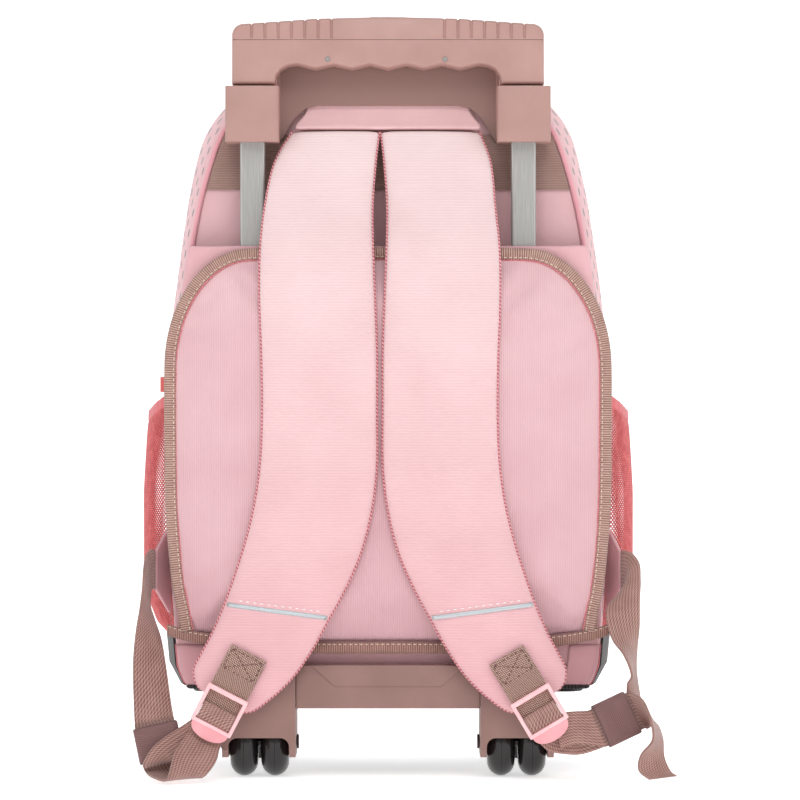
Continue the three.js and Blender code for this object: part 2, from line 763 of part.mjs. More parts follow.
// Binding over the panel's edge: an arch up one side and down the other, and a band along the foot.
const bindingBack = panelMargin - gap;
function archGeometry() {
  const rows = panelHalfOutline().filter((p) => p.y > panelBottom + 0.08 * panelHeight);
  const start = panelOutline.findIndex((p) => p.y === rows[0].y && p.x > 0);
  const inner = grown(panelOutline, -bindingWide).slice(start);
  return loft(mirrored(rows).map((p, i) => [
    new THREE.Vector3(p.x, bindingBack, p.y),
    new THREE.Vector3(inner[i].x, bindingBack, inner[i].y),
    new THREE.Vector3(inner[i].x, bindingBack - bindingThick, inner[i].y),
    new THREE.Vector3(p.x, bindingBack - bindingThick, p.y),
  ]));
}
addPiece('panel_binding', archGeometry(), colours.taupe);

// Wide is a share of the panel's half width and up a share of the binding's width.
const lowerRows = [
  { wide: 0, up: 0 },
  { wide: 0.334, up: 0.01 },
  { wide: 0.56, up: 0.25 },
  { wide: 0.79, up: 0.7 },
  { wide: 0.93, up: 1.2 },
  { wide: 0.985, up: 1.55 },
];
function lowerBindingGeometry() {
  const right = lowerRows.map(({ wide, up }) => {
    return new THREE.Vector2(panelHalf * wide, panelBottom + bindingWide * up);
  });
  const left = right.slice(1).map((p) => new THREE.Vector2(-p.x, p.y)).reverse();
  return loft([...left, ...right].map((p) => [
    new THREE.Vector3(p.x, bindingBack, p.y - bindingWide / 2),
    new THREE.Vector3(p.x, bindingBack, p.y + bindingWide / 2),
    new THREE.Vector3(p.x, bindingBack - bindingThick, p.y + bindingWide / 2),
    new THREE.Vector3(p.x, bindingBack - bindingThick, p.y - bindingWide / 2),
  ]));
}
addPiece('lower_binding', lowerBindingGeometry(), colours.taupe);

// Yoke from behind the wall of the top moulding down to the heads of the straps.
const yokeBack = bodyBack - gap - yokeThick / 2 - 0.3;
addPiece('yoke', ribbon([
  { at: [0, yokeBack, wallArch + 11], across: [1, 0, 0], share: 0.87 },
  { at: [0, yokeBack, wallArch - 2], across: [1, 0, 0], share: 0.87 },
  { at: [0, yokeBack - 3.5, wallArch - 9], across: [1, 0, 0], share: 0.92 },
  { at: [0, yokeBack - 9, strapTop + 4], across: [1, 0, 0], share: 0.98 },
  { at: [0, yokeBack - 13, strapTop + 1.6], across: [1, 0, 0], share: 1 },
], 2 * yokeHalf, yokeThick), colours.strapPink);

// Shoulder straps. Out and in are shares of the reach, their drops shares of the strap's drop,
// and stand a share of how far the strap stands off towards the wearer.
const strapRows = [
  { out: 0.479, outDrop: 0.001, in: 0.003, inDrop: 0, stand: 0 },
  { out: 0.571, outDrop: 0.054, in: 0.021, inDrop: 0.048, stand: 0.247 },
  { out: 0.625, outDrop: 0.136, in: 0.04, inDrop: 0.133, stand: 0.558 },
  { out: 0.646, outDrop: 0.208, in: 0.037, inDrop: 0.208, stand: 0.825 },
  { out: 0.649, outDrop: 0.295, in: 0.026, inDrop: 0.295, stand: 0.914 },
  { out: 0.638, outDrop: 0.392, in: 0.016, inDrop: 0.392, stand: 0.925 },
  { out: 0.634, outDrop: 0.492, in: 0.016, inDrop: 0.486, stand: 0.93 },
  { out: 0.645, outDrop: 0.574, in: 0.017, inDrop: 0.582, stand: 0.938 },
  { out: 0.676, outDrop: 0.645, in: 0.045, inDrop: 0.657, stand: 0.948 },
  { out: 0.732, outDrop: 0.717, in: 0.107, inDrop: 0.732, stand: 0.956 },
  { out: 0.808, outDrop: 0.79, in: 0.21, inDrop: 0.804, stand: 0.964 },
  { out: 0.835, outDrop: 0.814, in: 0.27, inDrop: 0.838, stand: 0.969, stripe: true },
  { out: 0.905, outDrop: 0.866, in: 0.366, inDrop: 0.893, stand: 0.974 },
  { out: 0.964, outDrop: 0.901, in: 0.479, inDrop: 0.943, stand: 0.982 },
  { out: 1, outDrop: 0.925, in: 0.603, inDrop: 0.979, stand: 0.99 },
  { out: 0.994, outDrop: 0.946, in: 0.689, inDrop: 0.997, stand: 0.995 },
  { out: 0.964, outDrop: 0.961, in: 0.743, inDrop: 1, stand: 1 },
];
const stripeRow = strapRows.findIndex((row) => row.stripe);
// Front face of a strap from its outer edge, 0, to its inner edge, 1, as shares of its thickness.
const crownShares = [
  { over: 0, front: 0.42 },
  { over: 0.08, front: 0.75 },
  { over: 0.25, front: 0.96 },
  { over: 0.5, front: 1 },
  { over: 0.75, front: 0.96 },
  { over: 0.92, front: 0.75 },
  { over: 1, front: 0.42 },
];

// A point on a strap: row along it, over across it, and lift from its back face.
function strapPoint(side, row, over, lift) {
  const start = Math.min(Math.floor(row), strapRows.length - 2);
  const mix = (key) => THREE.MathUtils.lerp(strapRows[start][key], strapRows[start + 1][key], row - start);
  const flare = side > 0 ? topFlare * Math.max(0, 1 - mix('outDrop') / 0.1) : 0;
  const outX = strapReach * mix('out') + flare;
  const inX = strapReach * mix('in');
  const drop = THREE.MathUtils.lerp(mix('outDrop'), mix('inDrop'), over);
  return new THREE.Vector3(
    harnessCentre + side * THREE.MathUtils.lerp(outX, inX, over),
    strapRoot - strapStand * mix('stand') - lift,
    strapTop - strapDrop * drop,
  );
}

const patchSide = {
  left: { top: [-93.6, 87.1], buckle: [-113.4, 48.9] },
  right: { top: [79.8, 85.8], buckle: [102.2, 48.3] },
};

for (const [side, name] of [[-1, 'left'], [1, 'right']]) {
  const rings = Array.from(strapRows.keys(), (row) => [
    ...crownShares.map(({ over, front }) => strapPoint(side, row, over, strapThick * front)),
    ...[1, 0.5, 0].map((over) => strapPoint(side, row, over, 0)),
  ]);
  addPiece(`shoulder_strap_${name}`, loft(rings), colours.strapPink);

  const rowDrop = strapDrop * (strapRows[stripeRow].inDrop - strapRows[stripeRow - 1].inDrop);
  const half = stripeWide / (2 * rowDrop);
  const stripe = crownShares.map(({ over, front }) => [
    strapPoint(side, stripeRow - half, over, strapThick * front + gap),
    strapPoint(side, stripeRow + half, over, strapThick * front + gap),
    strapPoint(side, stripeRow + half, over, strapThick * front + gap + stripeThick),
    strapPoint(side, stripeRow - half, over, strapThick * front + gap + stripeThick),
  ]);
  addPiece(`reflective_strip_${name}`, loft(stripe), colours.grey, 0.4);
}

// Webbing patch on each strap and the ladder buckle that hangs from it.
const buckleBack = buckleFront + buckleThick;
const webPlane = buckleBack + gap + webThick / 2;
const strapFace = strapRoot - strapStand - strapThick;

function buckleFrame({ top, buckle }) {
  const down = new THREE.Vector3(buckle[0] - top[0], 0, buckle[1] - top[1]).normalize();
  const across = new THREE.Vector3(-down.z, 0, down.x);
  const at = (u, v, y) => {
    return new THREE.Vector3(buckle[0], y, buckle[1]).addScaledVector(across, u).addScaledVector(down, v);
  };
  return { down, across, at };
}

function buckleGeometry(spot) {
  const { down, across } = buckleFrame(spot);
  const shape = roundedRectangle(buckleWide, buckleTall, 2);
  const [w, h] = [buckleWide / 2 - buckleSide, buckleTall / 2];
  const window = (buckleTall - buckleBars.top - buckleBars.middle - buckleBars.low) / 2;
  const windows = [h - buckleBars.top - window / 2, -h + buckleBars.low + window / 2];
  for (const v of windows) {
    const hole = new THREE.Path();
    hole.moveTo(-w, v - window / 2);
    hole.lineTo(-w, v + window / 2);
    hole.lineTo(w, v + window / 2);
    hole.lineTo(w, v - window / 2);
    shape.holes.push(hole);
  }
  const tab = new THREE.Shape();
  tab.moveTo(-w, 1 - h);
  tab.lineTo(w, 1 - h);
  tab.bezierCurveTo(w, -h - buckleTab * 1.3, -w, -h - buckleTab * 1.3, -w, 1 - h);
  const settings = { depth: buckleThick, bevelEnabled: false, curveSegments: 4 };
  const ring = solidOf(new THREE.ExtrudeGeometry(shape, settings));
  const tongue = solidOf(new THREE.ExtrudeGeometry(tab, { ...settings, depth: buckleThick * 0.6 }));
  const up = down.clone().negate();
  const turn = new THREE.Matrix4().makeBasis(across, up, across.clone().cross(up));
  const flip = across.clone().cross(up).y > 0 ? buckleFront : buckleBack;
  turn.setPosition(spot.buckle[0], flip, spot.buckle[1]);
  return geometryOf(ring.add(tongue)).applyMatrix4(turn);
}

function patchGeometry(spot) {
  const { across, at } = buckleFrame(spot);
  const flat = across.toArray();
  const long = Math.hypot(spot.top[0] - spot.buckle[0], spot.top[1] - spot.buckle[1]);
  const onStrap = strapFace - gap - webThick / 2;
  return ribbon([
    { at: at(0, -long, onStrap).toArray(), across: flat },
    { at: at(0, -0.6 * long, onStrap - 0.4).toArray(), across: flat },
    { at: at(0, -0.38 * long, webPlane).toArray(), across: flat },
    { at: at(0, -1.7, webPlane).toArray(), across: flat },
  ], webWide, webThick);
}

// Each keeper is a short elastic sleeve round both layers of webbing. The routes below are the
// webbing's own: at is a point of its centre line and across the direction of its width.
const layerStep = 1.5;
function keeperFrame(centre, along, across) {
  const run = new THREE.Vector3(...along).normalize();
  const width = new THREE.Vector3(...across);
  width.addScaledVector(run, -width.dot(run)).normalize();
  const depth = run.clone().cross(width);
  if (depth.y < 0) depth.negate();
  const at = (distance, layer) => {
    const point = new THREE.Vector3(...centre).addScaledVector(run, distance);
    return point.addScaledVector(depth, layer * layerStep);
  };
  const pass = (distance, layer) => ({ at: at(distance, layer).toArray(), across: width.toArray() });
  const mouth = keeperLong / 2 + 0.5;
  const reach = mouth + 2;
  const down = (layer) => [reach, mouth, -mouth, -reach].map((distance) => pass(distance, layer));
  return { width, depth, at, down, up: (layer) => down(layer).reverse() };
}

function keeperGeometry({ width, depth, at }) {
  const wide = webWide / 2 + 2 * gap;
  const deep = layerStep + webThick / 2 + 2 * gap;
  const ring = (distance, wall) => [[1, 1], [-1, 1], [-1, -1], [1, -1]].map(([u, v]) => {
    const corner = at(distance, 0).addScaledVector(width, u * (wide + wall));
    return corner.addScaledVector(depth, v * (deep + wall));
  });
  const reach = keeperLong / 2;
  return loft([ring(-reach, keeperWall), ring(reach, keeperWall), ring(reach, 0), ring(-reach, 0)], true);
}

const keepers = {
  left: keeperFrame([-155, -37.6, 26.5], [-0.218, 0.234, 0.948], [1, 0, 0.1]),
  right: keeperFrame([154.5, -36.5, 42], [0.9, 0.15, 0.41], [-0.41, 0, 0.9]),
};
const pinched = (buckleWide - 2 * buckleSide - 2 * gap) / webWide;
function behindBuckle(name, v, y) {
  const { at, across } = buckleFrame(patchSide[name]);
  return { at: at(0, v, y).toArray(), across: across.toArray(), share: pinched };
}


// Beside the bag a station gives both edges, with x counted outwards from the bag's side.
const beside = (side, rows) => rows.map((row) => ({
  edges: row.map(([x, y, z]) => [side * (bodyHalf + x), y, z]),
}));
const webbing = {
  left: [
    ...beside(-1, [
      [[10.3, 3.5, 127.5], [10.3, 3.5, 154.5]],
      [[11.5, -1.5, 129], [12, -4, 156]],
      [[12.5, -1.5, 127.5], [15, -12, 152]],
      [[13, -1, 123.5], [16, -19, 143]],
      [[13.5, 0, 117.5], [16.5, -24, 130]],
      [[10, -3, 107], [18, -27, 117]],
      [[5.5, -8, 95], [20.5, -29.5, 102]],
      [[1.5, -16, 77], [22.5, -31, 82]],
      [[-2, -22, 56], [22.5, -31.5, 60]],
    ]),
    ...keepers.left.down(1),
    { at: [-150.6, -39.2, 9], across: [0.96, 0.1, 0.14] },
    { at: [-145.5, -47.2, 4.4], across: [0.75, 0.65, 0.03] },
    { at: [-138.5, -54, 3.8], across: [0.72, 0.69, 0] },
    { at: [-135.2, -57, 7], across: [0.8, 0.55, -0.2] },
    { at: [-131.5, -56.5, 14.5], across: [0.9, 0.15, -0.4] },
    { at: [-127.5, -51.5, 21], across: [0.914, 0, -0.4] },
    behindBuckle('left', 22.5, webPlane + 0.3),
    behindBuckle('left', 15, webPlane),
    behindBuckle('left', 6, webPlane),
  ],
  right: [
    ...beside(1, [
      [[10.3, 3.5, 127.5], [10.3, 3.5, 154.5]],
      [[11.4, -1, 128], [11.8, -2, 155]],
      [[11.5, -6.5, 127], [16.5, -8, 153.5]],
      [[6.5, -11.5, 124], [21.5, -12, 146.5]],
      [[0.5, -14, 119], [22.5, -14, 135]],
      [[-1.5, -20, 109.5], [22, -14, 122]],
      [[2.5, -29, 95], [21.5, -12, 103]],
      [[10, -33.5, 85], [20, -9, 88]],
      [[15, -34, 71], [19.5, -8, 74]],
      [[12.5, -34, 66.5], [22, -17, 52]],
    ]),
    ...keepers.right.down(1),
    { edges: [[125.5, -37.2, 44.5], [130.7, -37.6, 18.5]] },
    { edges: [[121, -38.6, 44.3], [119.5, -38.4, 18.7]] },
    { edges: [[118.9, -39.2, 45], [107.5, -39.2, 21.5]] },
    behindBuckle('right', 10, webPlane + 2.8),
    behindBuckle('right', 2, webPlane + 2.6),
  ],
};
const tails = {
  left: [
    ...keepers.left.down(-1),
    { at: [-152, -46.4, 14.4], across: [0.96, 0, 0.1], share: 0.97 },
    { at: [-146.5, -48.4, 18], across: [0.85, 0, -0.4] },
    { at: [-139.5, -45, 22.5], across: [0.74, 0, -0.67] },
    { at: [-131, -40.8, 28.5], across: [0.74, 0, -0.66], share: 0.95 },
    { at: [-121.5, -40, 36.5], across: [0.8, 0, -0.6], share: pinched },
    { at: [-114.2, -40, 44], across: [0.9, 0, -0.43], share: pinched },
  ],
  right: [
    { edges: [[113, -42.3, 45], [116.5, -42.3, 22.5]] },
    { edges: [[121, -41.6, 47.5], [127.2, -41.6, 25.5]] },
    ...keepers.right.up(-1),
    { edges: [[171, -44, 56.5], [177, -29, 35.5]] },
    { edges: [[176, -52, 45], [182, -27, 38]] },
    { edges: [[178, -54, 30], [186, -29, 29]] },
    { edges: [[170, -52, 19], [187, -33, 16]] },
    { edges: [[169, -47, 8.5], [192, -37, 6]] },
    { edges: [[176, -46, 2.4], [195.2, -39, 4]] },
  ],
};

for (const name of ['left', 'right']) {
  addPiece(`strap_patch_${name}`, patchGeometry(patchSide[name]), colours.taupe);
  addPiece(`ladder_buckle_${name}`, buckleGeometry(patchSide[name]), colours.bucklePink, 0.4);
  addPiece(`adjust_webbing_${name}`, ribbon(webbing[name], webWide, webThick), colours.taupe);
  addPiece(`webbing_tail_${name}`, ribbon(tails[name], webWide, webThick), colours.taupe);
  addPiece(`elastic_keeper_${name}`, keeperGeometry(keepers[name]), colours.darkTaupe);
}

// Cloth wings that carry the lower webbing from the side seams.
for (const [side, name] of [[-1, 'left'], [1, 'right']]) {
  const root = new THREE.Vector2(bodyHalf + 1, pocketStart - 2.5);
  const tip = new THREE.Vector2(bodyHalf + 9.6, 5.2);
  const square = tip.clone().sub(root).normalize().rotateAround(new THREE.Vector2(), Math.PI / 2);
  const ring = (p, tall) => [[1, 1], [-1, 1], [-1, -1], [1, -1]].map(([u, v]) => new THREE.Vector3(
    side * (p.x + square.x * u * wingThick / 2),
    p.y + square.y * u * wingThick / 2,
    wingMid + v * tall / 2,
  ));
  addPiece(`side_wing_${name}`, loft([ring(root, wingRoot), ring(tip, wingTip)]), colours.pink);
}

// Mesh pockets: each a thin bulging wall along the gusset, closed at its foot.
// Up is a share of the pocket's height and bulge a share of its bulge.
const pocketRows = [
  { up: 0, bulge: 0.1 },
  { up: 0.04, bulge: 0.55 },
  { up: 0.12, bulge: 0.9 },
  { up: 0.3, bulge: 1.1 },
  { up: 0.6, bulge: 1.05 },
  { up: 0.8, bulge: 0.92 },
  { up: 1, bulge: 0.8 },
];
const pocketHeight = pocketTop - pocketBottom;
function pocketRing(side, up, lower, extra) {
  const steps = 8;
  const bulge = pocketBulge * rowsAt(pocketRows, 'up', 'bulge', up);
  const [outer, inner] = [[], []];
  for (let k = 0; k <= steps; k += 1) {
    const y = THREE.MathUtils.lerp(pocketStart, pocketEnd, k / steps);
    const arc = Math.sin(Math.PI * k / steps);
    const z = pocketBottom + pocketHeight * up - lower - rimDip * arc * up ** 6;
    const x = bodyHalfAt(z) + gussetAt(y) + gap + bulge * arc ** 0.7;
    outer.push(new THREE.Vector3(side * (x + pocketWall + extra), y, z));
    inner.push(new THREE.Vector3(side * x, y, z));
  }
  return [...outer, ...inner.reverse()];
}
for (const [side, name] of [[-1, 'left'], [1, 'right']]) {
  const rings = pocketRows.map(({ up }) => pocketRing(side, up, up === 1 ? rimTall + rimGap : 0, 0));
  addPiece(`mesh_pocket_${name}`, loft(rings), colours.coral);
  const rim = [pocketRing(side, 1, rimTall, 0.5), pocketRing(side, 1, 0, 0.5)];
  addPiece(`pocket_rim_${name}`, loft(rim), colours.coral);
}

// Small ribbon tab in the left seam above the pocket.
const tabFoot = bodyHalf - 0.2;
const tabBottom = pocketTop + 0.5;
addPiece('side_tab', block(
  -tabFoot - tabLong,
  -tabFoot,
  pocketStart - 3,
  pocketStart - 1.4,
  tabBottom,
  tabBottom + tabTall,
), colours.coral);

// The bag stands with the middle of its footprint over the origin.
const extent = new THREE.Box3().setFromObject(bag);
bag.position.set(-(extent.min.x + extent.max.x) / 2, -(extent.min.y + extent.max.y) / 2, 0);

export default bag;
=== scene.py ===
import math

import bmesh
import bpy
from mathutils import Matrix, Vector, noise


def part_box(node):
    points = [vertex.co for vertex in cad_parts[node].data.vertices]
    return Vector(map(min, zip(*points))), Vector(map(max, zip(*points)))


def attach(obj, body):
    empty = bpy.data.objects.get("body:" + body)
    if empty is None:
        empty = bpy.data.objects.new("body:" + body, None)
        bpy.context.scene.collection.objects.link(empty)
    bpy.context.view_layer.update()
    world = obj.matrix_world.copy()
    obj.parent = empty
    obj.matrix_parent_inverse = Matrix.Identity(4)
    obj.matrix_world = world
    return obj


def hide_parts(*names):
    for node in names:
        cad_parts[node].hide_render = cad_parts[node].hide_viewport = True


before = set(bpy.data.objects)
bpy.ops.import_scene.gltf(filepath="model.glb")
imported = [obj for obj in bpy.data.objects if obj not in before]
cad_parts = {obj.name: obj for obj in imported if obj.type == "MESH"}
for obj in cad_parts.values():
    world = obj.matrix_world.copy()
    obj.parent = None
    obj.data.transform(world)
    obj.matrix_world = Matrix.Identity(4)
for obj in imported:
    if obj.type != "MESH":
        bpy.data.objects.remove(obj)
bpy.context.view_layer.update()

# The studio: a pale floor that sweeps up behind the bag, soft light from all round, a broad
# light from above in front and a weaker one from each side. The camera looks straight at the
# carrying side from half way up, as in the photograph.
MM = 0.001
tube_left, tube_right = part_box("outer_tube_left"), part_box("outer_tube_right")
middle_x = (tube_left[0][0] + tube_right[1][0]) / 2
tube_y = (tube_left[0][1] + tube_left[1][1]) / 2


def spot(x, y, z):
    """A point in millimetres from the foot of the trolley, as a point of the row frame."""
    return Vector((middle_x + x * MM, tube_y + y * MM, z * MM))


def surface(name, colour, rough, **settings):
    """A material whose shader holds these plain values, and its nodes and links."""
    made = bpy.data.materials.new(name)
    made.use_nodes = True
    shader = made.node_tree.nodes["Principled BSDF"]
    shader.inputs["Base Color"].default_value = linear(colour)
    shader.inputs["Roughness"].default_value = rough
    for key, value in settings.items():
        shader.inputs[key.replace("_", " ")].default_value = value
    return made, shader


def linear(colour):
    """A colour given in 0 to 255 as the shader wants it."""
    return (*[(c / 255 / 12.92) if c < 10.3 else ((c / 255 + 0.055) / 1.055) ** 2.4 for c in colour], 1)


def area_light(name, place, aim, size, power):
    lamp = bpy.data.lights.new(name, "AREA")
    lamp.size, lamp.energy = size, power
    holder = bpy.data.objects.new(name, lamp)
    holder.location = place
    holder.rotation_euler = (Vector(aim) - Vector(place)).to_track_quat("-Z", "Y").to_euler()
    bpy.context.collection.objects.link(holder)


world = bpy.data.worlds.new("studio")
bpy.context.scene.world = world
world.use_nodes = True
world.node_tree.nodes["Background"].inputs["Color"].default_value = (1, 1, 1, 1)
world.node_tree.nodes["Background"].inputs["Strength"].default_value = 0.47
area_light("key", (0.1, -1.7, 2.1), (0, 0, 0.25), 1.6, 25)
area_light("side_left", (-1.9, -1.0, 0.7), (0, 0, 0.25), 1.2, 6)
area_light("side_right", (1.9, -0.9, 0.8), (0, 0, 0.25), 1.2, 6)
area_light("behind", (0.2, 2.0, 1.6), (0, 0, 0.3), 1.5, 9)

floor_depth, floor_side, sweep = 4.0, 5.0, 1.2
bm = bmesh.new()
edge = [bm.verts.new((-floor_side, -floor_depth, 0)), bm.verts.new((floor_side, -floor_depth, 0))]
run = bm.edges.new(edge)
drawn = bmesh.ops.extrude_edge_only(bm, edges=[run])["geom"]
bmesh.ops.translate(bm, verts=[v for v in drawn if isinstance(v, bmesh.types.BMVert)], vec=(0, floor_depth + 2, 0))
turned = [e for e in drawn if isinstance(e, bmesh.types.BMEdge)]
turned = [e for e in turned if all(v.co.y > 0 for v in e.verts)]
bmesh.ops.spin(bm, geom=turned, cent=(0, 2, sweep), axis=(1, 0, 0), angle=math.pi / 2, steps=16)
wall = [e for e in bm.edges if all(abs(v.co.z - sweep) < 1e-4 for v in e.verts)]
drawn = bmesh.ops.extrude_edge_only(bm, edges=wall)["geom"]
bmesh.ops.translate(bm, verts=[v for v in drawn if isinstance(v, bmesh.types.BMVert)], vec=(0, 0, 4))
backdrop_mesh = bpy.data.meshes.new("backdrop")
bm.to_mesh(backdrop_mesh)
bm.free()
for polygon in backdrop_mesh.polygons:
    polygon.use_smooth = True
backdrop = bpy.data.objects.new("backdrop", backdrop_mesh)
bpy.context.collection.objects.link(backdrop)
paper, paper_shader = surface("backdrop_paper", (250, 250, 250), 0.9)
paper_shader.inputs["Emission Color"].default_value = (1, 1, 1, 1)
paper_shader.inputs["Emission Strength"].default_value = 0.55
backdrop_mesh.materials.append(paper)

camera_data = bpy.data.cameras.new("camera")
camera_data.sensor_width = 36
camera_data.lens = 170.6
camera_data.clip_end = 20
camera = bpy.data.objects.new("camera", camera_data)
camera.location = spot(8.2, -2600, 258)
camera.rotation_euler = (math.pi / 2, 0, 0)
bpy.context.collection.objects.link(camera)
bpy.context.scene.camera = camera
bpy.context.scene.view_settings.view_transform = "Standard"


# The trolley: two rectangular drawn tubes of brushed silver-grey metal, with a thinner pair
# that slides inside them. The housings hold them at the foot and the corner caps at the top.
def link(tree, out, into):
    tree.links.new(out, into)


def add_node(tree, kind, **values):
    made = tree.nodes.new(kind)
    for key, value in values.items():
        setattr(made, key, value)
    return made


def maths(tree, operation, first, second=None, third=None):
    made = add_node(tree, "ShaderNodeMath", operation=operation)
    for socket, value in zip(made.inputs, (first, second, third)):
        if isinstance(value, (int, float)):
            socket.default_value = value
        elif value is not None:
            link(tree, value, socket)
    return made.outputs[0]


def coordinates(tree, source="Object"):
    """The three coordinates of a point in millimetres."""
    place = add_node(tree, "ShaderNodeTexCoord")
    scaled = add_node(tree, "ShaderNodeVectorMath", operation="SCALE")
    scaled.inputs["Scale"].default_value = 1000
    link(tree, place.outputs[source], scaled.inputs[0])
    apart = add_node(tree, "ShaderNodeSeparateXYZ")
    link(tree, scaled.outputs[0], apart.inputs[0])
    return scaled.outputs[0], apart.outputs


def cloudy(tree, vector, size, detail=2.0, stretch=None):
    """Soft noise between 0 and 1 with patches of this size in millimetres."""
    if stretch:
        turned = add_node(tree, "ShaderNodeMapping")
        turned.inputs["Scale"].default_value = stretch
        link(tree, vector, turned.inputs[0])
        vector = turned.outputs[0]
    made = add_node(tree, "ShaderNodeTexNoise")
    made.inputs["Scale"].default_value = 1 / size
    made.inputs["Detail"].default_value = detail
    link(tree, vector, made.inputs["Vector"])
    return made.outputs["Fac"]


def shaded(tree, shader, factor, *stops):
    """The colour of the shader runs through these stops of (place, colour) with the factor."""
    ramp = add_node(tree, "ShaderNodeValToRGB")
    while len(ramp.color_ramp.elements) < len(stops):
        ramp.color_ramp.elements.new(0.5)
    for element, (place, colour) in zip(ramp.color_ramp.elements, stops):
        element.position = place
        element.color = linear(colour)
    link(tree, factor, ramp.inputs[0])
    link(tree, ramp.outputs[0], shader.inputs["Base Color"])
    return ramp.outputs[0]


def bumped(tree, shader, height, depth, strength=1.0):
    """Relief on the shader, depth millimetres from 0 to 1 of the height."""
    bump = add_node(tree, "ShaderNodeBump")
    bump.inputs["Distance"].default_value = depth * MM
    bump.inputs["Strength"].default_value = strength
    link(tree, height, bump.inputs["Height"])
    link(tree, bump.outputs[0], shader.inputs["Normal"])


tube_metal, shader = surface("brushed_tube", (176, 175, 172), 0.42, Metallic=0.55)
tree = tube_metal.node_tree
vector, (x, y, z) = coordinates(tree)
grain = cloudy(tree, vector, 0.5, 3, (1, 1, 0.02))
shaded(tree, shader, grain, (0.3, (166, 165, 162)), (0.7, (188, 187, 184)))
bumped(tree, shader, grain, 0.03)
for side in ("left", "right"):
    for part in ("outer", "inner"):
        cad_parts[f"{part}_tube_{side}"].data.materials.clear()
        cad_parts[f"{part}_tube_{side}"].data.materials.append(tube_metal)


# The top moulding: one corner cap on each outer tube, joined by a recessed wall behind the
# grip. Injection moulded mauve plastic with rounded edges and a fine matt texture.
def plastic(name, colour, dark, rough=0.48, depth=0.03):
    """Moulded plastic: a fine matt grain, slightly uneven in colour."""
    made, shader = surface(name, colour, rough)
    tree = made.node_tree
    vector, _ = coordinates(tree)
    shaded(tree, shader, cloudy(tree, vector, 30, 3), (0.3, dark), (0.7, colour))
    bumped(tree, shader, cloudy(tree, vector, 0.35, 2), depth)
    return made


def piece_from(bm, name, material, body="bag", stands_for=(), levels=0, crease=None):
    """Makes the finished piece: normals out, smooth faces, sharp edges past the crease angle."""
    bmesh.ops.recalc_face_normals(bm, faces=bm.faces[:])
    for face in bm.faces:
        face.smooth = True
    if crease:
        for each in bm.edges:
            each.smooth = len(each.link_faces) != 2 or each.calc_face_angle(0) < math.radians(crease)
    mesh = bpy.data.meshes.new(name)
    bm.to_mesh(mesh)
    bm.free()
    mesh.materials.append(material)
    made = bpy.data.objects.new(name, mesh)
    bpy.context.collection.objects.link(made)
    if levels:
        smooth = made.modifiers.new("Smooth", "SUBSURF")
        smooth.levels = smooth.render_levels = levels
    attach(made, body)
    if stands_for:
        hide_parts(*stands_for)
    return made


def moulded(name, node, material, round_off, body="bag", sharp=25):
    """A moulding on the node's own solid, with its edges rounded off."""
    bm = bmesh.new()
    bm.from_mesh(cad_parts[node].data)
    bmesh.ops.remove_doubles(bm, verts=bm.verts[:], dist=1e-5)
    bmesh.ops.dissolve_limit(
        bm, angle_limit=math.radians(2), verts=bm.verts[:], edges=bm.edges[:], use_dissolve_boundaries=False)
    edges = [e for e in bm.edges if len(e.link_faces) == 2 and e.calc_face_angle(0) > math.radians(sharp)]
    bmesh.ops.bevel(
        bm, geom=edges, offset=round_off * MM, segments=3, profile=0.5, affect="EDGES",
        material=-1, clamp_overlap=True)
    bmesh.ops.triangulate(bm, faces=[f for f in bm.faces if len(f.verts) > 4])
    return piece_from(bm, name, material, body, (node,), crease=35)


bridge_plastic = plastic("moulded_bridge", (180, 141, 133), (170, 132, 124))
tree = bridge_plastic.node_tree
shader = tree.nodes["Principled BSDF"]
vector, (x, y, z) = coordinates(tree)
# Painted shade: the recessed wall between the caps gets a darker colour for the shadow that the grip throws on it.
from_middle = maths(tree, "ABSOLUTE", maths(tree, "SUBTRACT", x, middle_x * 1000))
shaded_wall_mask = maths(tree, "LESS_THAN", from_middle, 74.3)
mixer = add_node(tree, "ShaderNodeMix", data_type="RGBA")
link(tree, shaded_wall_mask, mixer.inputs["Factor"])
link(tree, shader.inputs["Base Color"].links[0].from_socket, mixer.inputs["A"])
mixer.inputs["B"].default_value = linear((146, 112, 105))
link(tree, mixer.outputs["Result"], shader.inputs["Base Color"])
moulded("top_moulding", "top_bridge", bridge_plastic, 1.2)


# The grip: an arched bar of mauve plastic with grooves at both ends, finger waves below and
# a seam above its foot. The halves are held by small screws and it stands on the inner tubes.
grip_plastic = plastic("moulded_grip", (183, 144, 136), (172, 134, 126), 0.42)
moulded("grip_bar", "grip", grip_plastic, 0.7, body="handle", sharp=35)
moulded("grip_button", "release_button", grip_plastic, 0.8, body="handle")

screw_metal, shader = surface("screw_steel", (205, 203, 200), 0.25, Metallic=1.0)
tree = screw_metal.node_tree
vector, _ = coordinates(tree)
bumped(tree, shader, cloudy(tree, vector, 0.4, 2), 0.05)
grip_screws = ((-41.2, 490.6), (39, 490.6))
bm = bmesh.new()
for x, z in grip_screws:
    place = Matrix.Translation(spot(x, -12.2, z)) @ Matrix.Rotation(math.pi / 2, 4, "X")
    bmesh.ops.create_cone(
        bm, cap_ends=True, segments=20, radius1=2.1 * MM, radius2=1.6 * MM, depth=1.2 * MM, matrix=place)
piece_from(bm, "grip_screws", screw_metal, "handle", crease=40)


